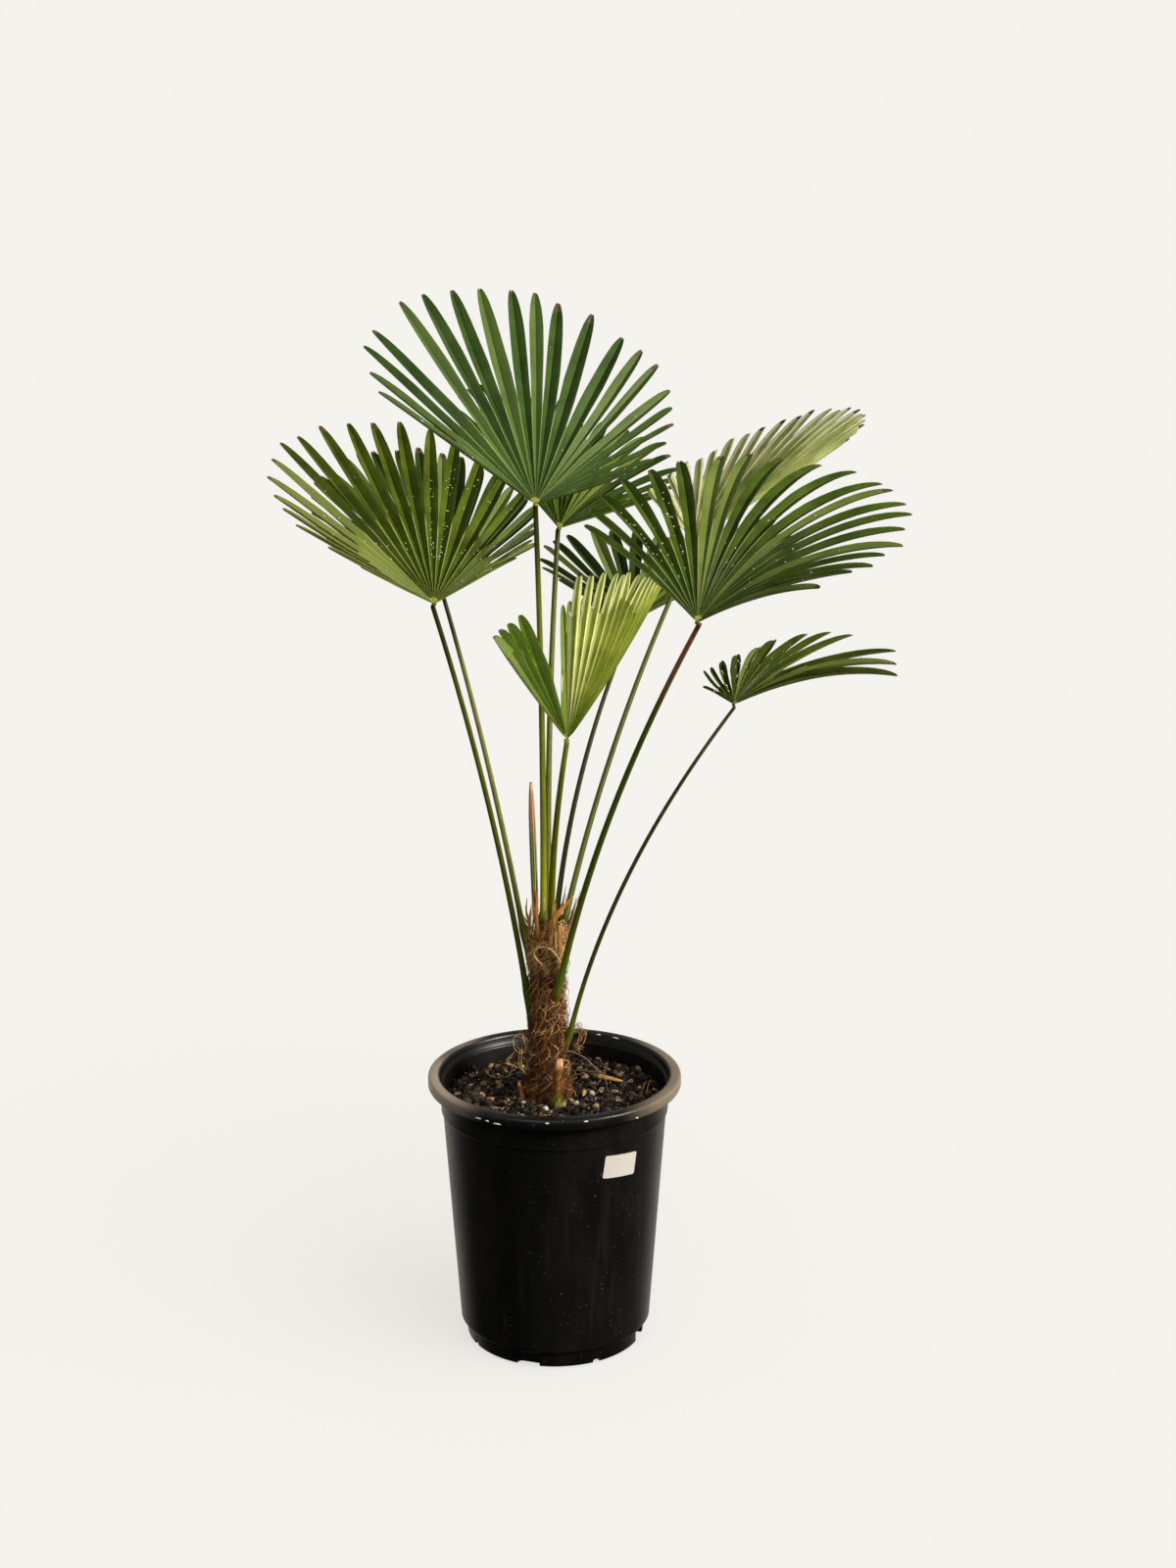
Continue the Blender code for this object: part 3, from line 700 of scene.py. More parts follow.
for _ in range(14):
    start = spot_on_soil(0.105)
    turn = dice.uniform(0.0, math.tau)
    way = Vector((math.cos(turn), math.sin(turn), 0.15)) * dice.uniform(0.006, 0.014)
    lifted = start + Vector((0.0, 0.0, 0.003))
    slivers.strip([lifted, lifted + way * 0.5, lifted + way], [0.0012, 0.0015, 0.0006],
                  Vector((0.0, 0.0, 1.0)))
slivers.piece("soil_slivers", [STRAW, RUST])

# %% [markdown]
# ## The trunk
# A young palm's trunk is wrapped in brown fibre from its old leaf bases. The trunk's rule is the
# solid's own: a flared foot, a narrower middle and a swollen crown. A finely divided cylinder
# follows that rule, sunk and raised by noise. Hundreds of curled fibres stand off it, and long
# roots loop out at the left and at the foot.

# %% The trunk's relief
TRUNK_FOOT = Vector((TRUNK_X, 0.0, 0.2785))
TRUNK_TOP = Vector((-0.0085, 0.001, 0.477))
FIBRE = Finish("trunk_fibre_finish", "trunk_fibre", roughness=0.85, specular_ior_level=0.3)
grain = FIBRE.noise(FIBRE.point((1.0, 1.0, 0.16)), 190.0, 5.0)
matted = FIBRE.mix(grain.ramp(0.3, 0.7), tint(36, 18, 8), tint(122, 74, 38))
# Paler at the crown: partly the fibre's own colour and partly painted light, as the crown is shaded
paler_crown = FIBRE.mix(grain.ramp(0.38, 0.62), tint(112, 62, 20), tint(252, 198, 118))
FIBRE.colour(FIBRE.mix(FIBRE.axis(FIBRE.point(), "Z").ramp(0.415, 0.455), matted, paler_crown))
FIBRE.bump(grain, 0.0014)
STRANDS = [plain(f"strand_{name}", "trunk_fibre", tint(*dark), tint(*pale), 400.0, 0.8)
           for name, dark, pale in (("dark", (60, 32, 10), (98, 60, 24)),
                                    ("brown", (128, 82, 40), (178, 122, 66)),
                                    ("pale", (214, 164, 94), (248, 210, 146)))]


def trunk_radius(share):
    flare = 0.0097 * math.exp(-share / 0.12)
    crown = 0.0017 * min(1.0, share / 0.8) ** 3
    return 0.0178 + flare + crown


def trunk_point(turn, share, proud=0.0):
    """A point of the fibrous surface, proud of it or sunk in it; the top is lower at the left."""
    share *= 1.0 - 0.085 * math.exp(-((turn % math.tau - 3.05) / 0.85) ** 2)
    radius = trunk_radius(share)
    streak = noise.noise(Vector((math.cos(turn) * 5.0, math.sin(turn) * 5.0, share * 5.0)))
    fine = noise.noise(Vector((math.cos(turn) * 19.0, math.sin(turn) * 19.0, share * 14.0)))
    scale = math.sin(3.0 * turn + 9.0 * share) * math.cos(40.0 * share)
    radius += 0.0022 * streak + 0.0011 * fine + 0.0010 * scale + proud
    centre = TRUNK_FOOT.lerp(TRUNK_TOP, share)
    return centre + Vector((math.cos(turn), math.sin(turn), 0.0)) * radius


bpy.ops.object.select_all(action="DESELECT")
bpy.ops.mesh.primitive_cylinder_add(vertices=84, radius=0.02, depth=1.0, location=(0, 0, 0.5))
trunk = bpy.context.object
trunk.name = "trunk_bark"
bpy.ops.object.transform_apply(location=True)
for edge in trunk.data.edges:
    low, high = (trunk.data.vertices[i].co.z for i in edge.vertices)
    edge.select = abs(low - high) > 0.5
for face in trunk.data.polygons:
    face.select = False
bpy.ops.object.mode_set(mode="EDIT")
bpy.ops.mesh.select_mode(type="EDGE")
bpy.ops.mesh.subdivide_edgering(number_cuts=110, smoothness=0.0)
bpy.ops.object.mode_set(mode="OBJECT")
for vertex in trunk.data.vertices:
    turn = math.atan2(vertex.co.y, vertex.co.x)
    share = max(0.0, min(1.0, vertex.co.z))
    vertex.co = trunk_point(turn, share, -0.004 if share > 0.995 else 0.0)
trunk.data.materials.append(FIBRE.material)
trunk.data.shade_smooth()
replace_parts(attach(trunk, "root"), "trunk")
print("trunk:", len(trunk.data.polygons), "faces")

# %% Curled strands of fibre
dice = random.Random(41)
strands = Gather()
for _ in range(1250):
    turn, share = dice.uniform(0.0, math.tau), dice.uniform(0.0, 1.0) ** 1.1
    path, swing = [], dice.uniform(-0.6, 0.6)
    climb = dice.uniform(0.008, 0.050)
    proud = dice.uniform(0.0006, 0.0055)
    for step in range(8):
        t = step / 7
        path.append(trunk_point(turn + swing * t + 0.25 * math.sin(5.0 * t + turn),
                                min(1.05, share + climb * t * 3.2),
                                proud * math.sin(math.pi * (0.12 + 0.88 * t))))
    # Pale strands are commoner at the crown: partly the fibre's own colour and partly painted light
    tones = (0, 0, 0, 1, 2) if share < 0.35 else ((1, 2, 2, 2) if share > 0.75 else (0, 0, 1, 1, 2))
    strands.tube(path, [dice.uniform(0.00017, 0.00037)] * 7 + [0.0001], 3, dice.choice(tones))
print("strands:", len(strands.faces), "faces")

# %% Loops of root and a dark tangle
LEFT_LOOPS = (
    ((-0.0276, -0.012, 0.3495), (-0.0383, -0.012, 0.3576), (-0.0448, -0.011, 0.3495),
     (-0.0427, -0.010, 0.3381), (-0.0342, -0.011, 0.3346), (-0.0319, -0.013, 0.3450),
     (-0.0351, -0.013, 0.3564)),
    ((-0.0351, -0.015, 0.3415), (-0.0363, -0.016, 0.3243), (-0.0321, -0.014, 0.3105)),
    ((-0.0448, -0.010, 0.3346), (-0.0514, -0.010, 0.3243), (-0.0407, -0.012, 0.3185)))
TANGLE = ((0.0150, 0.000, 0.3520), (0.0208, 0.000, 0.3588), (0.0262, 0.001, 0.3634),
          (0.0316, 0.000, 0.3565), (0.0283, -0.002, 0.3450), (0.0229, -0.001, 0.3381),
          (0.0294, 0.000, 0.3334))
CROWN_LOOP = ((-0.0130, -0.0205, 0.4410), (-0.0215, -0.0190, 0.4511), (-0.0182, -0.0205, 0.4589),
              (-0.0108, -0.0215, 0.4611), (-0.0023, -0.0215, 0.4578), (0.0051, -0.0200, 0.4477),
              (0.0114, -0.0180, 0.4353))


def shaken(line, size):
    """The line's points, each moved a little at random."""
    return [Vector(p) + Vector([dice.uniform(-size, size) for _ in range(3)]) for p in line]


for line in LEFT_LOOPS:
    for size, wide, tone in ((0.0, 0.00026, 2), (0.0030, 0.00020, 2), (0.0050, 0.00016, 1),
                             (0.0060, 0.00014, 0)):
        strands.tube(smooth_line(shaken(line, size)), [wide] * (6 * (len(line) - 1)) + [0.0001], 4,
                     tone)
for _ in range(14):
    strands.tube(smooth_line(shaken(TANGLE, 0.0048)), [0.00020] * 36 + [0.0001], 4,
                 dice.choice((0, 0, 1, 2)))
for size, wide in ((0.0, 0.0008), (0.0006, 0.0005), (0.0010, 0.0004)):
    strands.tube(smooth_line(shaken(CROWN_LOOP, size)), [wide] * 36 + [0.0004], 5, 2)
for _ in range(110):
    turn = dice.uniform(0.0, math.tau)
    share = dice.choice((dice.uniform(0.02, 0.45), dice.uniform(0.9, 1.0)))
    start = trunk_point(turn, share)
    out = Vector((math.cos(turn), math.sin(turn), dice.uniform(-0.5, 1.4))) * dice.uniform(0.004, 0.011)
    bend = shaken(((0.0, 0.0, 0.0),), 0.003)[0]
    strands.tube([start, start + out * 0.5 + bend * 0.5, start + out * 0.8 + bend, start + out],
                 [0.0002, 0.0002, 0.00017, 0.0001], 3, dice.choice((1, 2)))
for _ in range(60):
    low, high = dice.uniform(-0.018, 0.006), dice.uniform(-0.018, 0.006)
    ends = (Vector((low, -0.0200, dice.uniform(0.436, 0.446))),
            Vector((high, -0.0205, dice.uniform(0.448, 0.459))))
    strands.tube([ends[0].lerp(ends[1], i / 3) + Vector((0.0, dice.uniform(-0.001, 0.001), 0.0))
                  for i in range(4)], [0.00025] * 4, 3, 0)
strands.piece("trunk_strands", STRANDS)

# %% [markdown]
# ## Leaf finishes
# Every leaf has its own age and so its own green. Each gets one finish in two tones for its upper
# side and one for its pale lower side. The finger's own map draws fine veins and a thin pale
# line on each ridge up to the split. Painted shade darkens the fold's valley down the middle of
# each finger, on both sides, and one half of each finger.

# %% Greens
VEINS = 34.0
HUB_SHARE = 0.045


def leafy(name, dark, pale, line, roughness, split, painted_fold_shade, shade, stripes=0.0):
    """A leaf finish: pale ridge lines, and painted shade down the middle and over one half."""
    made = Finish(name, "leaf_green", roughness=roughness, specular_ior_level=0.12)
    spot = made.map()
    across, along = made.axis(spot, "X"), made.axis(spot, "Y")
    off = across.maths("ABSOLUTE")
    veins = (across * VEINS).maths("SINE") * 0.5 + 0.5
    cloud = made.noise(made.point(), 22.0, 3.0)
    streaks = made.noise(made.map((4.0, 0.9, 1.0)), 3.0, 4.0)
    colour = made.mix((cloud * 0.45 + streaks * 0.55).ramp(0.36, 0.64), dark, pale)
    colour = made.mix(veins * 0.16, colour, pale)
    # Painted shade: one half of each finger is darkened towards the fold shade colour
    colour = made.mix(across.ramp(-0.10, 0.10) * shade, colour, painted_fold_shade)
    colour = made.mix(off.ramp(0.42, 0.62) * stripes, colour, line)
    colour = made.mix((1.0 - along.ramp(0.0, 0.6)) * 0.4, colour, dark)
    ridge = off.ramp(0.88, 0.97) * (1.0 - along.ramp(split - 0.04, split + 0.02)) * 0.9
    colour = made.mix(ridge, colour, line)
    # Painted shade in the fold's valley: a dark line down the finger's middle
    made.colour(made.mix((1.0 - off.ramp(0.02, 0.08)) * 0.7, colour, painted_fold_shade))
    made.rough(cloud * 0.16 + (roughness - 0.08))
    made.bump(veins, 0.0001)
    return made


# Upper dark and pale, lower dark and pale, pale line, roughness of the upper side
PALETTES = {
    "top": ((38, 62, 20), (74, 100, 42), (90, 106, 40), (130, 144, 68), (150, 168, 102), 0.40),
    "left": ((34, 50, 0), (98, 114, 30), (112, 124, 44), (154, 162, 78), (176, 186, 110), 0.34),
    "left_back": ((30, 48, 10), (64, 84, 26), (86, 102, 42), (122, 136, 62), (118, 138, 70), 0.40),
    "back": ((24, 44, 0), (54, 80, 8), (84, 102, 22), (124, 138, 44), (116, 138, 48), 0.38),
    "right_front": ((34, 54, 6), (84, 104, 32), (90, 106, 42), (132, 146, 70), (166, 180, 116), 0.34),
    # right_back, young: pale lower sides, partly own colour and partly painted light through the leaf
    "right_back": ((52, 78, 12), (88, 112, 34), (122, 142, 50), (228, 232, 158), (255, 252, 214), 0.42),
    "young": ((48, 76, 0), (102, 128, 8), (126, 144, 32), (206, 216, 98), (252, 252, 190), 0.40),
    "low_back": ((28, 44, 8), (60, 80, 22), (84, 98, 40), (120, 132, 62), (112, 130, 64), 0.40),
    "low_right": ((34, 48, 4), (86, 98, 32), (96, 110, 36), (140, 150, 66), (176, 184, 112), 0.32),
}
# How strong the pale band along each edge of a finger is on the lower side
STRIPES = {"young": 0.78, "right_back": 0.85}
# How far the paler upper tone goes towards a pale yellowish green, and how strongly painted shade
# darkens one half of each finger
LIGHTER = {"left": (0.60, 0.55), "top": (0.26, 0.36), "right_front": (0.38, 0.48)}
# Fingers of the left leaf that take the paler upper tone as a painted sheen
PAINTED_SHEEN_FINGERS = {"left": range(0, 7)}
HEART = plain("leaf_heart", "leaf_green", tint(128, 134, 44), tint(170, 168, 70), 240.0, 0.5)
TIP = plain("leaf_tip", "leaf_green", tint(58, 48, 28), tint(104, 84, 52), 240.0, 0.6)


def lighter(colour, share):
    """A colour some share of the way from its value to a pale yellowish green."""
    return tuple(c + (v - c) * share for c, v in zip(colour, (176, 184, 110)))


def palette(leaf):
    """The leaf's finishes: two upper tones, lower side, hub and tip."""
    dark, pale, low_dark, low_pale, line, roughness = PALETTES[leaf.name]
    # The painted fold shade is the leaf's dark green, darker still
    painted_fold_shade = tuple(0.6 * c for c in dark)
    ridge = pale if leaf.name in STRIPES else line
    share, shade = LIGHTER.get(leaf.name, (0.48, 0.55))
    return [leafy(f"{leaf.name}_upper", tint(*dark), tint(*pale), tint(*ridge), roughness,
                  leaf.split, tint(*painted_fold_shade), shade),
            leafy(f"{leaf.name}_upper_pale", tint(*lighter(dark, share)), tint(*lighter(pale, share)),
                  tint(*ridge), roughness, leaf.split, tint(*dark), 0.40),
            leafy(f"{leaf.name}_lower", tint(*low_dark), tint(*low_pale), tint(*line), 0.5,
                  leaf.split, tint(*dark), 0.2, STRIPES.get(leaf.name, 0.15)),
            HEART, TIP]


print(len(PALETTES), "leaf palettes")

# %% [markdown]
# ## The leaves
# A fan leaf is pleated: each finger is a V along its midrib, and neighbours are joined to about
# half their length. The rule is the source's own, written again here, so that each fine blade
# lies where its solid does: thinner, with curved sides, notched tips and a raised midrib below.

# %% The leaf rule
FOLD_ANGLE = 34.0
FREE_FOLD_ANGLE = 28.0
FINGER_FILL = 0.86
STEP_JITTER = 0.22
SPLIT_JITTER = 0.10
LENGTH_JITTER = 0.03
PATH_STEPS = 12
FINGER_WIDTH = 0.0175


class Leaf:
    """One fan leaf: where its stalk starts, where its hub is and how the fan lies."""

    def __init__(self, name, seed, base, hub, bow, heading, pitch, roll, spread, fingers,
                 reach, shorten, lift, cup, droop, skew=0.0, split=0.46, width=FINGER_WIDTH,
                 gaps=(), broad=0):
        self.name, self.seed, self.spread, self.reach = name, seed, spread, reach
        self.base, self.hub, self.bow = Vector(base), Vector(hub), Vector((*bow, 0.0))
        self.shorten, self.lift, self.cup, self.droop = shorten, lift, cup, droop
        self.skew, self.split, self.width = skew, split, width
        self.widths = [width * 2.0] * broad + [width] * (fingers - broad)
        heading, pitch, roll = (math.radians(v) for v in (heading, pitch, roll))
        flat = Vector((math.cos(heading), math.sin(heading), 0.0))
        self.along = flat * math.cos(pitch) + Vector((0.0, 0.0, math.sin(pitch)))
        level = Vector((0.0, 0.0, math.cos(pitch))) - flat * math.sin(pitch)
        self.normal = level * math.cos(roll) + self.along.cross(level) * math.sin(roll)
        self.side = self.along.cross(self.normal)
        dice = random.Random(seed)
        steps = [1.0 + dice.uniform(-STEP_JITTER, STEP_JITTER) for _ in range(fingers - 1)]
        self.splits = [split * (1.0 + dice.uniform(-SPLIT_JITTER, SPLIT_JITTER))
                       for _ in range(fingers + 1)]
        self.lengths = [1.0 + dice.uniform(-LENGTH_JITTER, LENGTH_JITTER) for _ in range(fingers)]
        for after, wider, depth in gaps:
            steps[after] += wider
            self.splits[after + 1] = split * depth
        self.step = 2.0 * spread / sum(steps)
        self.angles = [-spread + self.step * sum(steps[:i]) for i in range(fingers)]
        self.edges = ([-spread - self.step / 2.0]
                      + [(a + b) / 2.0 for a, b in zip(self.angles, self.angles[1:])]
                      + [spread + self.step / 2.0])
        self.thickness = 0.0102 * reach * max(self.relative(angle) for angle in self.angles)

    def relative(self, angle):
        """A finger's length as a share of the leaf's reach."""
        off = angle / self.spread
        return (1.0 - self.shorten * min(1.0, abs(off)) ** 2) * (1.0 + self.skew * off)

    def ray(self, angle, share):
        """Point of the unfolded fan at an angle off its middle."""
        turn = math.radians(angle)
        off = angle / self.spread
        rise = math.radians(self.lift + (self.cup - self.lift) * off * off)
        start = ((self.along * math.cos(turn) + self.side * math.sin(turn)) * math.cos(rise)
                 + self.normal * math.sin(rise))
        relative = self.relative(angle)
        point = self.hub.copy()
        stride = self.reach * relative * share / PATH_STEPS
        bend = self.droop * relative ** 2
        for i in range(PATH_STEPS):
            t = share * (i + 0.5) / PATH_STEPS
            point += (start - Vector((0.0, 0.0, bend * t))).normalized() * stride
        return point

    def frame(self, angle, share):
        point = self.ray(angle, share)
        across = (self.ray(angle + 0.5, share) - self.ray(angle - 0.5, share)).normalized()
        onward = (self.ray(angle, share + 0.01) - self.ray(angle, share - 0.01)).normalized()
        return point, across, across.cross(onward).normalized()


LEAVES = [
    Leaf("top", 1, base=(-0.0115, -0.004, 0.481), hub=(-0.018, 0.030, 0.937),
         bow=(0.005, -0.002), heading=79, pitch=40, roll=12, spread=75, fingers=22,
         reach=0.280, shorten=0.47, lift=0, cup=21, droop=-0.1, skew=-0.34, width=0.0200,
         gaps=((3, 0.9, 0.7), (11, 0.4, 0.8), (14, 0.4, 0.8))),
    Leaf("left", 2, base=(-0.0300, -0.004, 0.403), hub=(-0.125, 0.000, 0.836),
         bow=(0.016, 0.0), heading=116, pitch=35, roll=3, spread=75, fingers=22,
         reach=0.278, shorten=0.64, lift=0, cup=21, droop=-0.046, skew=0.06),
    Leaf("left_back", 3, base=(-0.0340, 0.010, 0.470), hub=(-0.121, 0.100, 0.830),
         bow=(0.010, -0.003), heading=112, pitch=11, roll=2, spread=75, fingers=22,
         reach=0.219, shorten=0.42, lift=25, cup=17, droop=-0.055, skew=0.02),
    Leaf("back", 4, base=(-0.0060, 0.008, 0.481), hub=(0.0049, 0.200, 0.884),
         bow=(-0.008, -0.010), heading=86, pitch=33, roll=21, spread=64, fingers=20,
         reach=0.255, shorten=0.50, lift=0, cup=22, droop=0.30, skew=-0.05),
    Leaf("right_front", 5, base=(0.0065, -0.0200, 0.4195), hub=(0.1447, -0.170, 0.850),
         bow=(-0.029, 0.012), heading=44, pitch=52, roll=9, spread=65, fingers=21,
         reach=0.252, shorten=0.36, lift=0, cup=24, droop=0.73, skew=0.02),
    Leaf("right_back", 6, base=(0.0110, 0.000, 0.481), hub=(0.158, 0.256, 0.861),
         bow=(-0.027, -0.019), heading=314, pitch=43, roll=0, spread=55, fingers=22,
         reach=0.232, shorten=0.17, lift=0, cup=6, droop=0.0, skew=-0.17, split=0.64,
         width=0.0160),
    Leaf("young", 7, base=(-0.0030, -0.012, 0.481), hub=(0.0155, -0.070, 0.706),
         bow=(-0.008, 0.0), heading=41, pitch=-11, roll=-3, spread=133, fingers=40,
         reach=0.178, shorten=0.0, lift=63, cup=45, droop=-0.27, skew=0.26,
         split=0.78, width=0.0095,
         gaps=((0, 1.0, 1.0), (1, 1.0, 0.85), (2, 1.0, 1.0), (3, 5.5, 0.3)), broad=4),
    Leaf("low_back", 8, base=(0.0020, 0.009, 0.481), hub=(0.088, 0.255, 0.767),
         bow=(-0.028, -0.015), heading=89, pitch=19, roll=-1, spread=74, fingers=19,
         reach=0.193, shorten=0.68, lift=6, cup=21, droop=0.05, skew=-0.13),
    Leaf("low_right", 9, base=(0.0170, -0.006, 0.355), hub=(0.191, -0.020, 0.732),
         bow=(-0.046, 0.002), heading=54, pitch=-1, roll=-7, spread=78, fingers=13,
         reach=0.130, shorten=0.10, lift=31, cup=22, droop=0.23, skew=0.59,
         gaps=((3, 0.5, 0.5), (9, 1.1, 0.25))),
]
print(len(LEAVES), "leaves,", sum(len(leaf.angles) for leaf in LEAVES), "fingers")

# %% One fine blade
LEAF_THICK = 0.0006
MIDRIB_DEPTH = 0.0011
JOINED = (0.06, 0.15, 0.27, 0.40, 0.55, 0.70, 0.85, 1.0)
FREE = (0.06, 0.14, 0.24, 0.36, 0.48, 0.60, 0.71, 0.80, 0.87, 0.92, 0.96, 0.985, 1.0)
WIDTHS = ((0.0, 1.0), (0.30, 0.98), (0.55, 0.90), (0.75, 0.79), (0.88, 0.62), (0.95, 0.44),
          (0.985, 0.27), (1.0, 0.12))


def width_at(station):
    """Share of a finger's full width at a share of its free part."""
    for (s0, w0), (s1, w1) in zip(WIDTHS, WIDTHS[1:]):
        if station <= s1:
            return w0 + (w1 - w0) * (station - s0) / (s1 - s0)
    return WIDTHS[-1][1]


def fan(leaf):
    """The pleated blade with separate upper and lower faces."""
    blade = Gather()
    chance = random.Random(100 + leaf.seed)
    fold, free_fold = (math.tan(math.radians(a)) for a in (FOLD_ANGLE, FREE_FOLD_ANGLE))
    half_step = math.sin(math.radians(leaf.step / 2.0))

    def pair(point, up, thick=LEAF_THICK):
        return blade.add(point), blade.add(point - up * thick)

    def crossing(ends, up, rib, bulge):
        """Five corner pairs across a finger, whose halves are slightly round."""
        puff = up * bulge
        return [None, pair((ends[0] + ends[1]) / 2.0 + puff, up), pair(ends[1], up, LEAF_THICK + rib),
                pair((ends[1] + ends[2]) / 2.0 + puff, up), None]

    apex = pair(leaf.hub, leaf.normal)
    ridges = []
    for angle, split in zip(leaf.edges, leaf.splits):
        column = [(apex, leaf.hub)]
        for share in JOINED:
            point, across, up = leaf.frame(angle, share * split)
            top = point + up * (point - leaf.hub).length * half_step * fold
            column.append((pair(top, up), top))
        ridges.append(column)
    for i, angle in enumerate(leaf.angles):
        left, right = ridges[i], ridges[i + 1]
        split = (leaf.splits[i] + leaf.splits[i + 1]) / 2.0
        rows = [(0.0, [apex] * 5)]
        for k, share in enumerate(JOINED):
            point, across, up = leaf.frame(angle, share * split)
            ends = [left[k + 1][1], point, right[k + 1][1]]
            row = crossing(ends, up, MIDRIB_DEPTH, (ends[0] - point).length * 0.05)
            row[0], row[4] = left[k + 1][0], right[k + 1][0]
            rows.append((share * split, row))
        ruffle = 3.0 if leaf.name == "low_right" else 1.0
        sway, nod = (ruffle * chance.uniform(-v, v) for v in (0.0025, 0.0028))
        notch = chance.uniform(0.0, 0.012)
        dry_rows = chance.choice((-2, -3, -4)) - int(ruffle > 1.0)
        tone = chance.choice((0, 0, 0, 1))
        # The left leaf's listed fingers take the paler finish as a painted sheen
        if leaf.name in PAINTED_SHEEN_FINGERS:
            tone = int(i in PAINTED_SHEEN_FINGERS[leaf.name])
        for station in FREE:
            share = split + (1.0 - split) * station * leaf.lengths[i]
            point, across, up = leaf.frame(angle, share)
            keel = leaf.frame(angle, share - (notch if station == 1.0 else 0.0))[0]
            wave = across * sway * station ** 2 + up * nod * station ** 2
            slope = fold + (free_fold - fold) * min(1.0, station / 0.42)
            fill = 1.0 - (1.0 - FINGER_FILL) * min(1.0, station / 0.2)
            ends = [None, keel + wave, None]
            for place, edge in ((0, angle - leaf.edges[i]), (2, leaf.edges[i + 1] - angle)):
                room = (point - leaf.hub).length * math.radians(edge) * fill
                half = width_at(station) * min(leaf.widths[i] / 2.0, room)
                ends[place] = point + across * half * (place - 1) + up * half * slope + wave
            row = crossing(ends, up, MIDRIB_DEPTH * (1.0 - station), half * 0.10)
            row[0], row[4] = pair(ends[0], up), pair(ends[2], up)
            rows.append((share, row))
        for (s0, near), (s1, far) in zip(rows, rows[1:]):
            hub, end = s1 < HUB_SHARE, s1 > split and s1 > rows[dry_rows][0]
            upper = 3 if hub else (4 if end else tone)
            lower = 3 if hub else (4 if end else 2)
            for a in range(4):
                u0, u1 = a / 2.0 - 1.0, (a + 1) / 2.0 - 1.0
                for level, kind in ((0, upper), (1, lower)):
                    corners, uvs = [], []
                    for vert, uv in ((near[a][level], (u0, s0)), (near[a + 1][level], (u1, s0)),
                                     (far[a + 1][level], (u1, s1)), (far[a][level], (u0, s1))):
                        if vert not in corners:
                            corners.append(vert)
                            uvs.append(uv)
                    if level:
                        corners, uvs = corners[::-1], uvs[::-1]
                    blade.face(tuple(corners), kind, uvs)
        free = rows[len(JOINED) + 1:]
        outline = ([rows[len(JOINED)][1][0]] + [row[0] for _, row in free]
                   + [free[-1][1][k] for k in (1, 2, 3)]
                   + [row[4] for _, row in reversed(free)] + [rows[len(JOINED)][1][4]])
        for near, far in zip(outline, outline[1:]):
            blade.face((near[0], far[0], far[1], near[1]), 2)
    for column, flip in ((ridges[0], True), (ridges[-1], False)):
        for near, far in zip(column, column[1:]):
            corners = [near[0][0], near[0][1], far[0][1], far[0][0]]
            blade.face(tuple(corners[::-1] if flip else corners), 2)
    made = blade.piece(f"fan_{leaf.name}", palette(leaf), crease=24.0)
    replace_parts(made, f"blade_{leaf.name}")
    return made


no_shade = bpy.data.collections.new("fans_cast_no_key_shadow")
only_fans = bpy.data.collections.new("fans_alone")
for leaf in LEAVES:
    made = fan(leaf)
    no_shade.objects.link(made)
    only_fans.objects.link(made)
for group, link_state in ((no_shade, "EXCLUDE"), (only_fans, "INCLUDE")):
    for member in group.collection_objects:
        member.light_linking.link_state = link_state
key.light_linking.blocker_collection = no_shade
bounce = sun("bounce", (0.6, -1.2, -0.9), 0.9, 50.0, (1.0, 0.98, 0.88), only_fans)
bounce.light_linking.blocker_collection = NOT_FLOOR

# %% [markdown]
# ## The stalks
# Each stalk rises from the crown in a slight bow and ends under its fan's hub. It is a tapering
# rod, a little wider than deep, that widens where it clasps the trunk. Its colour runs from a
# fresh green foot to a dark or reddish top, so each has its own run of three colours.

# %% Stalks
STALK_RINGS = 34
# Foot, middle and top colour
STALK_COLOURS = {
    "top": ((144, 156, 24), (116, 124, 26), (62, 66, 20)),
    "left": ((72, 88, 16), (84, 94, 14), (54, 58, 18)),
    "left_back": ((112, 120, 36), (132, 132, 56), (66, 66, 34)),
    "back": ((124, 118, 38), (100, 106, 26), (84, 92, 32)),
    "right_front": ((100, 118, 24), (78, 92, 24), (142, 92, 62)),
    "right_back": ((98, 100, 28), (88, 96, 24), (78, 88, 22)),
    "young": ((116, 120, 16), (104, 112, 16), (132, 146, 40)),
    "low_back": ((84, 82, 34), (62, 66, 28), (80, 84, 30)),
    "low_right": ((96, 106, 24), (66, 62, 22), (92, 80, 44)),
}
# Foot and top radius
STALK_RADII = {"top": (0.0034, 0.0026), "left": (0.0030, 0.0024), "left_back": (0.0029, 0.0022),
               "back": (0.0033, 0.0026), "right_front": (0.0035, 0.0025),
               "right_back": (0.0031, 0.0023), "young": (0.0036, 0.0026),
               "low_back": (0.0029, 0.0022), "low_right": (0.0025, 0.0018)}
# Where a stalk's clasping foot runs on down the trunk
FEET = {
    "left_back": ((-0.0262, 0.004, 0.425), (-0.0295, 0.008, 0.448)),
    "left": ((-0.0262, -0.006, 0.361), (-0.0275, -0.006, 0.384)),
    "low_right": ((0.0095, -0.006, 0.3300), (0.0128, -0.006, 0.3404)),
    "right_front": ((0.0012, -0.0150, 0.3960), (0.0028, -0.0185, 0.4083)),
}


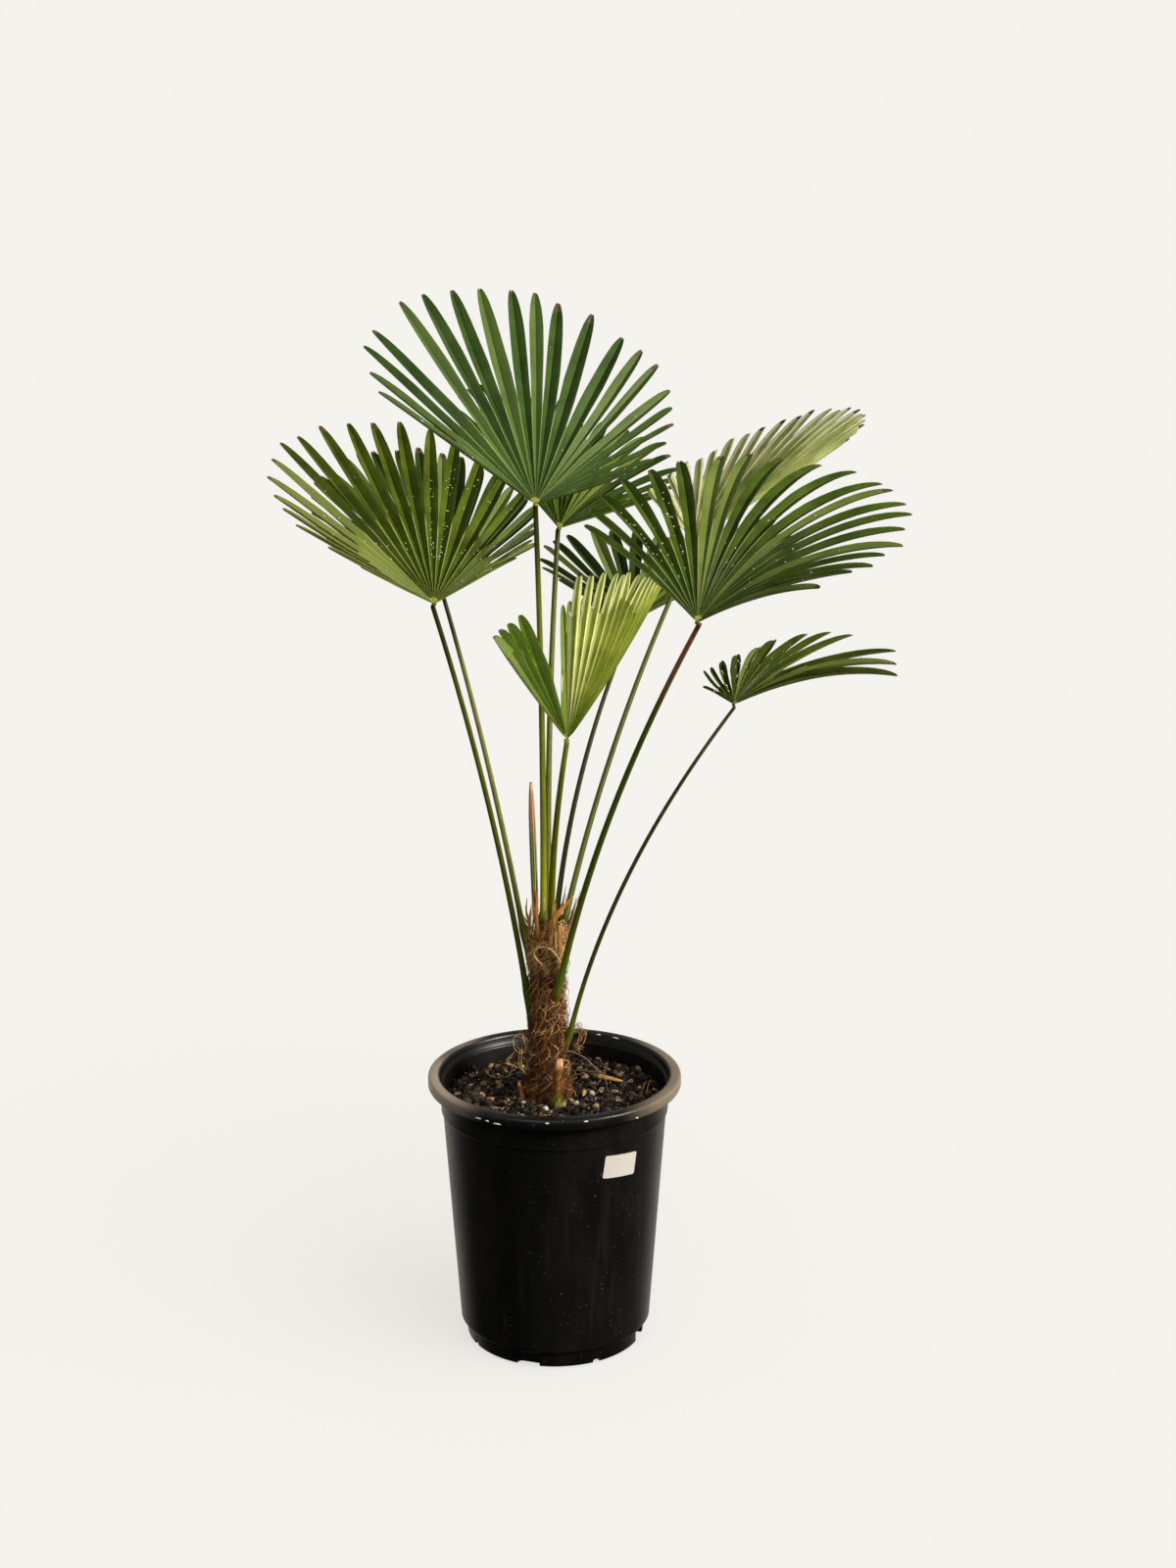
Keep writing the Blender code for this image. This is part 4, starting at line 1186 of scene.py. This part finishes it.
def stem_finish(name):
    """A stalk's finish, whose colour runs along its length."""
    foot, middle, top = (tint(*colour) for colour in STALK_COLOURS[name])
    made = Finish(f"stem_{name}_finish", "stalk_green", roughness=0.38, specular_ior_level=0.16)
    along = made.axis(made.map(), "Y")
    grain = made.noise(made.point((1.0, 1.0, 0.1)), 300.0, 4.0)
    colour = made.mix(along.ramp(0.03, 0.30), foot, middle)
    colour = made.mix(along.ramp(0.74, 0.90), colour, top)
    made.colour(made.mix(grain.ramp(0.35, 0.75) * 0.35, colour, tint(22, 24, 10)))
    made.bump(grain, 0.0002)
    return made


def stalk(leaf):
    low, high = STALK_RADII[leaf.name]
    tip = leaf.hub - leaf.normal * (leaf.thickness + 0.0029)
    middle = (leaf.base + tip) / 2.0 + leaf.bow
    path = [Vector(p) for p in FEET.get(leaf.name, ())]
    radii = [low * share for share in (0.7, 1.15)][:len(path)]
    for i in range(STALK_RINGS):
        t = i / (STALK_RINGS - 1)
        path.append(leaf.base * (1 - t) ** 2 + middle * (2 * t * (1 - t)) + tip * t ** 2)
        radii.append(low + (high - low) * t + 0.0012 * math.exp(-t / 0.03))
    path.append(leaf.hub - leaf.normal * LEAF_THICK - leaf.along * 0.001)
    radii.append(high)
    rod = Gather()
    rod.tube(path, radii, 12, flat=1.06)
    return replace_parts(rod.piece(f"stem_{leaf.name}", [stem_finish(leaf.name)]), f"stalk_{leaf.name}")


for leaf in LEAVES:
    stalk(leaf)

# %% [markdown]
# ## Spear, stub and sheaths
# The unopened leaf is a slim pleated spear. A stalk was once cut at the trunk's foot, and dry
# orange sheaths wrap the crown and end in points. Each is a small rod or a papery blade.

# %% Small pieces at the crown


def dry(name, low, high, foot, tip, marks=0.45):
    """A dry finish, streaked upwards, whose colour runs from a foot's to a tip's."""
    made = Finish(name, "sheath_orange", roughness=0.6, specular_ior_level=0.3)
    streaks = made.noise(made.point((1.0, 1.0, 0.12)), 420.0, 4.0)
    up = made.axis(made.point(), "Z").ramp(low, high)
    colour = made.mix(up, tint(*foot), tint(*tip))
    made.colour(made.mix(streaks.ramp(0.42, 0.62) * marks, colour, tint(*(0.45 * c for c in foot))))
    made.bump(streaks, 0.0004)
    return made


SHEATH = dry("sheath_finish", 0.476, 0.506, (132, 94, 44), (216, 142, 60))
SHEATH_PALE = dry("sheath_tan", 0.470, 0.520, (176, 134, 84), (222, 186, 132))
STUB_SKIN = dry("stub_skin", 0.290, 0.308, (124, 128, 36), (164, 100, 40), 0.85)
STUB_TOP = dry("stub_top", 0.324, 0.333, (176, 104, 44), (236, 186, 134), 0.7)
SPEAR_SKIN = Finish("spear_finish", "leaf_green", roughness=0.4)
spear_spot = SPEAR_SKIN.map()
spear_stripes = (SPEAR_SKIN.axis(spear_spot, "X") * 56.0).maths("SINE").ramp(-0.4, 0.6)
spear_colour = SPEAR_SKIN.mix(spear_stripes, tint(50, 62, 16), tint(168, 172, 104))
spear_tip = SPEAR_SKIN.mix(spear_stripes, tint(122, 78, 40), tint(236, 190, 138))
SPEAR_SKIN.colour(SPEAR_SKIN.mix(SPEAR_SKIN.axis(spear_spot, "Y").ramp(0.50, 0.86), spear_colour,
                                 spear_tip))
SPEAR = (Vector((-0.0200, 0.003, 0.481)), Vector((-0.0245, 0.001, 0.640)), 0.0040)
STUB = (Vector((0.0015, -0.0365, 0.281)), Vector((0.0060, -0.0355, 0.337)), 0.0056)
SHEATHS = {
    "left": ((-0.0275, -0.0190, 0.466), (-0.0262, -0.0190, 0.488), (-0.0240, -0.0175, 0.509)),
    "front": ((-0.0185, -0.0230, 0.470), (-0.0184, -0.0222, 0.5035), (-0.0172, -0.0200, 0.531)),
    "right": ((-0.0086, -0.0240, 0.470), (0.0011, -0.0250, 0.4948), (0.0217, -0.0230, 0.5203)),
}
SHEATH_WIDTHS = {"left": 0.0046, "front": 0.0050, "right": 0.0080}


def spike(name, ends, shape, finishes, node, kinds=None, flat=1.0):
    foot, tip, radius = ends
    rod = Gather()
    path = [foot.lerp(tip, i / (len(shape) - 1)) for i in range(len(shape))]
    rod.tube(path, [radius * share for share in shape], 14, flat=flat, kinds=kinds)
    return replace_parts(rod.piece(name, finishes), node)


BLUNT = [0.72, 0.82, 0.86, 0.90, 0.92, 0.94, 0.95, 0.95, 0.94, 0.92, 0.88, 0.78, 0.62, 0.34]
spike("spear_leaf", SPEAR, BLUNT, [SPEAR_SKIN], "spear")
spike("cut_stub", STUB, (1.15, 1.22, 1.02, 0.92, 1.04, 1.08, 0.96, 0.86, 0.82, 0.60),
      [STUB_SKIN, STUB_TOP], "stub", kinds=(0, 0, 0, 0, 0, 0, 0, 1, 1))
hairs = Gather()
for _ in range(60):
    share, turn = dice.uniform(0.15, 0.7), dice.uniform(0.0, math.tau)
    around = [STUB[0].lerp(STUB[1], share + 0.05 * k) + Vector((math.cos(turn + 0.5 * k),
              math.sin(turn + 0.5 * k), 0.0)) * dice.uniform(0.0058, 0.0078) for k in range(5)]
    hairs.tube(smooth_line(around, 2), [0.0002] * 8 + [0.0001], 3, dice.choice((0, 0, 1)))
hairs.piece("stub_hairs", STRANDS)
dice = random.Random(44)
for name, line in SHEATHS.items():
    husk = Gather()
    path = smooth_line(line, 7)
    wide = [SHEATH_WIDTHS[name] * math.sin(math.pi * (0.28 + 0.70 * i / (len(path) - 1)))
            * dice.uniform(0.75, 1.05) for i in range(len(path))]
    husk.strip(path, wide, Vector((0.0, -1.0, 0.0)), thick=0.0008)
    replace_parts(husk.piece(f"husk_{name}", [SHEATH]), f"sheath_{name}")
TATTERS = (((-0.0185, -0.0190, 0.4879), (-0.0205, -0.0185, 0.4980), (-0.0222, -0.0170, 0.5079), 0.0040),
           ((-0.0065, -0.0150, 0.4963), (-0.0050, -0.0150, 0.5260), (-0.0031, -0.0150, 0.5572), 0.0030),
           ((-0.0200, -0.0140, 0.4900), (-0.0222, -0.0150, 0.5120), (-0.0200, -0.0150, 0.5330), 0.0034),
           ((-0.0270, -0.0080, 0.4850), (-0.0300, -0.0080, 0.4980), (-0.0290, -0.0080, 0.5130), 0.0030))
tatters = Gather()


def tatter(line, wide, facing, kind):
    """A torn strip that narrows unevenly to its tip."""
    path = smooth_line(line, 5)
    last = len(path) - 1
    tatters.strip(path, [wide * (1.0 - 0.85 * (i / last) ** 2) * dice.uniform(0.7, 1.1)
                         for i in range(last + 1)], facing, kind)


for *line, wide in TATTERS:
    tatter(line, wide, Vector((0.0, -1.0, 0.0)), 1)
for leaf in LEAVES:
    if leaf.base.z < 0.44:
        continue
    toward = (leaf.hub - leaf.base).normalized()
    outward = Vector((leaf.base.x - TRUNK_TOP.x, leaf.base.y - TRUNK_TOP.y, 0.0))
    turn = math.atan2(outward.y, outward.x)
    for _ in range(3 if leaf.name == "left_back" else 8):
        heading = turn + dice.uniform(-0.9, 0.9)
        out = Vector((math.cos(heading), math.sin(heading), 0.0))
        high = leaf.base + toward * dice.uniform(0.004, 0.042) + out * dice.uniform(0.0045, 0.0065)
        low = trunk_point(heading, dice.uniform(0.78, 0.95), 0.0015)
        tatter((low, (low + high) / 2.0 + out * 0.001, high), dice.uniform(0.0020, 0.0044), out,
               dice.choice((0, 0, 1)))
tatters.piece("crown_tatters", [SHEATH_PALE, SHEATH])

# %% [markdown]
# ## Water drops
# The leaves were watered: small round drops stand on the fingers of some of them. Each drop is a
# dome of a few faces, set at random on the joined part and the fingers. The drops are white, a
# painted glint, and short white streaks on the pot's wet rim are painted highlights.

# %% Drops
# White rather than clear: a painted glint
DROP_GLINT = Finish("water_drop", "leaf_green", base_color=tint(244, 247, 240), roughness=0.04,
              specular_ior_level=0.9)
dice = random.Random(43)
drops = Gather()
# How many drops a leaf has and which of its fingers has most of them
WET = {"left": (150, (13, 14)), "right_front": (70, (2, 3, 4)), "low_right": (40, (3, 4)),
       "top": (24, (0,)), "left_back": (10, (0,))}
for leaf in LEAVES:
    count, fingers = WET.get(leaf.name, (0, ()))
    for k in range(count):
        i = dice.randrange(len(leaf.angles)) if k % 2 else dice.choice(fingers)
        share = dice.uniform(0.25, 0.8)
        half = dice.uniform(-0.6, 0.6)
        point, across, up = leaf.frame(leaf.angles[i], share)
        room = min(leaf.width / 2.0, (point - leaf.hub).length * math.radians(leaf.step / 2.0) * 0.86)
        spot = point + across * half * room + up * (abs(half) * room * 0.58 + 0.0002)
        drops.lump(spot, dice.uniform(0.0005, 0.0010), 0.7, 4, 7, 0.05)
# Heading, height, radius and length of the white streaks on the pot's wet rim, painted highlights
RIM_GLINTS = ((67.4, 0.3078, 0.1272, 6), (57.5, 0.3076, 0.1274, 10), (72.9, 0.2946, 0.1255, 3),
           (65.7, 0.2944, 0.1255, 8), (56.3, 0.2950, 0.1255, 8), (235.3, 0.3011, 0.1401, 8),
           (239.9, 0.3005, 0.1401, 5), (244.8, 0.2995, 0.1401, 9), (267.4, 0.3055, 0.1401, 4),
           (284.4, 0.3060, 0.1401, 5), (309.6, 0.2985, 0.1401, 4))
for heading, height, radius, length in RIM_GLINTS:
    arc = [math.radians(heading) + (i / 6 - 0.5) * 0.001 * length / radius for i in range(7)]
    drops.tube([Vector((radius * math.cos(a), radius * math.sin(a), height)) for a in arc],
               [0.0002, 0.0006, 0.0008, 0.0009, 0.0008, 0.0006, 0.0002], 6)
drops.piece("water_drops", [DROP_GLINT])
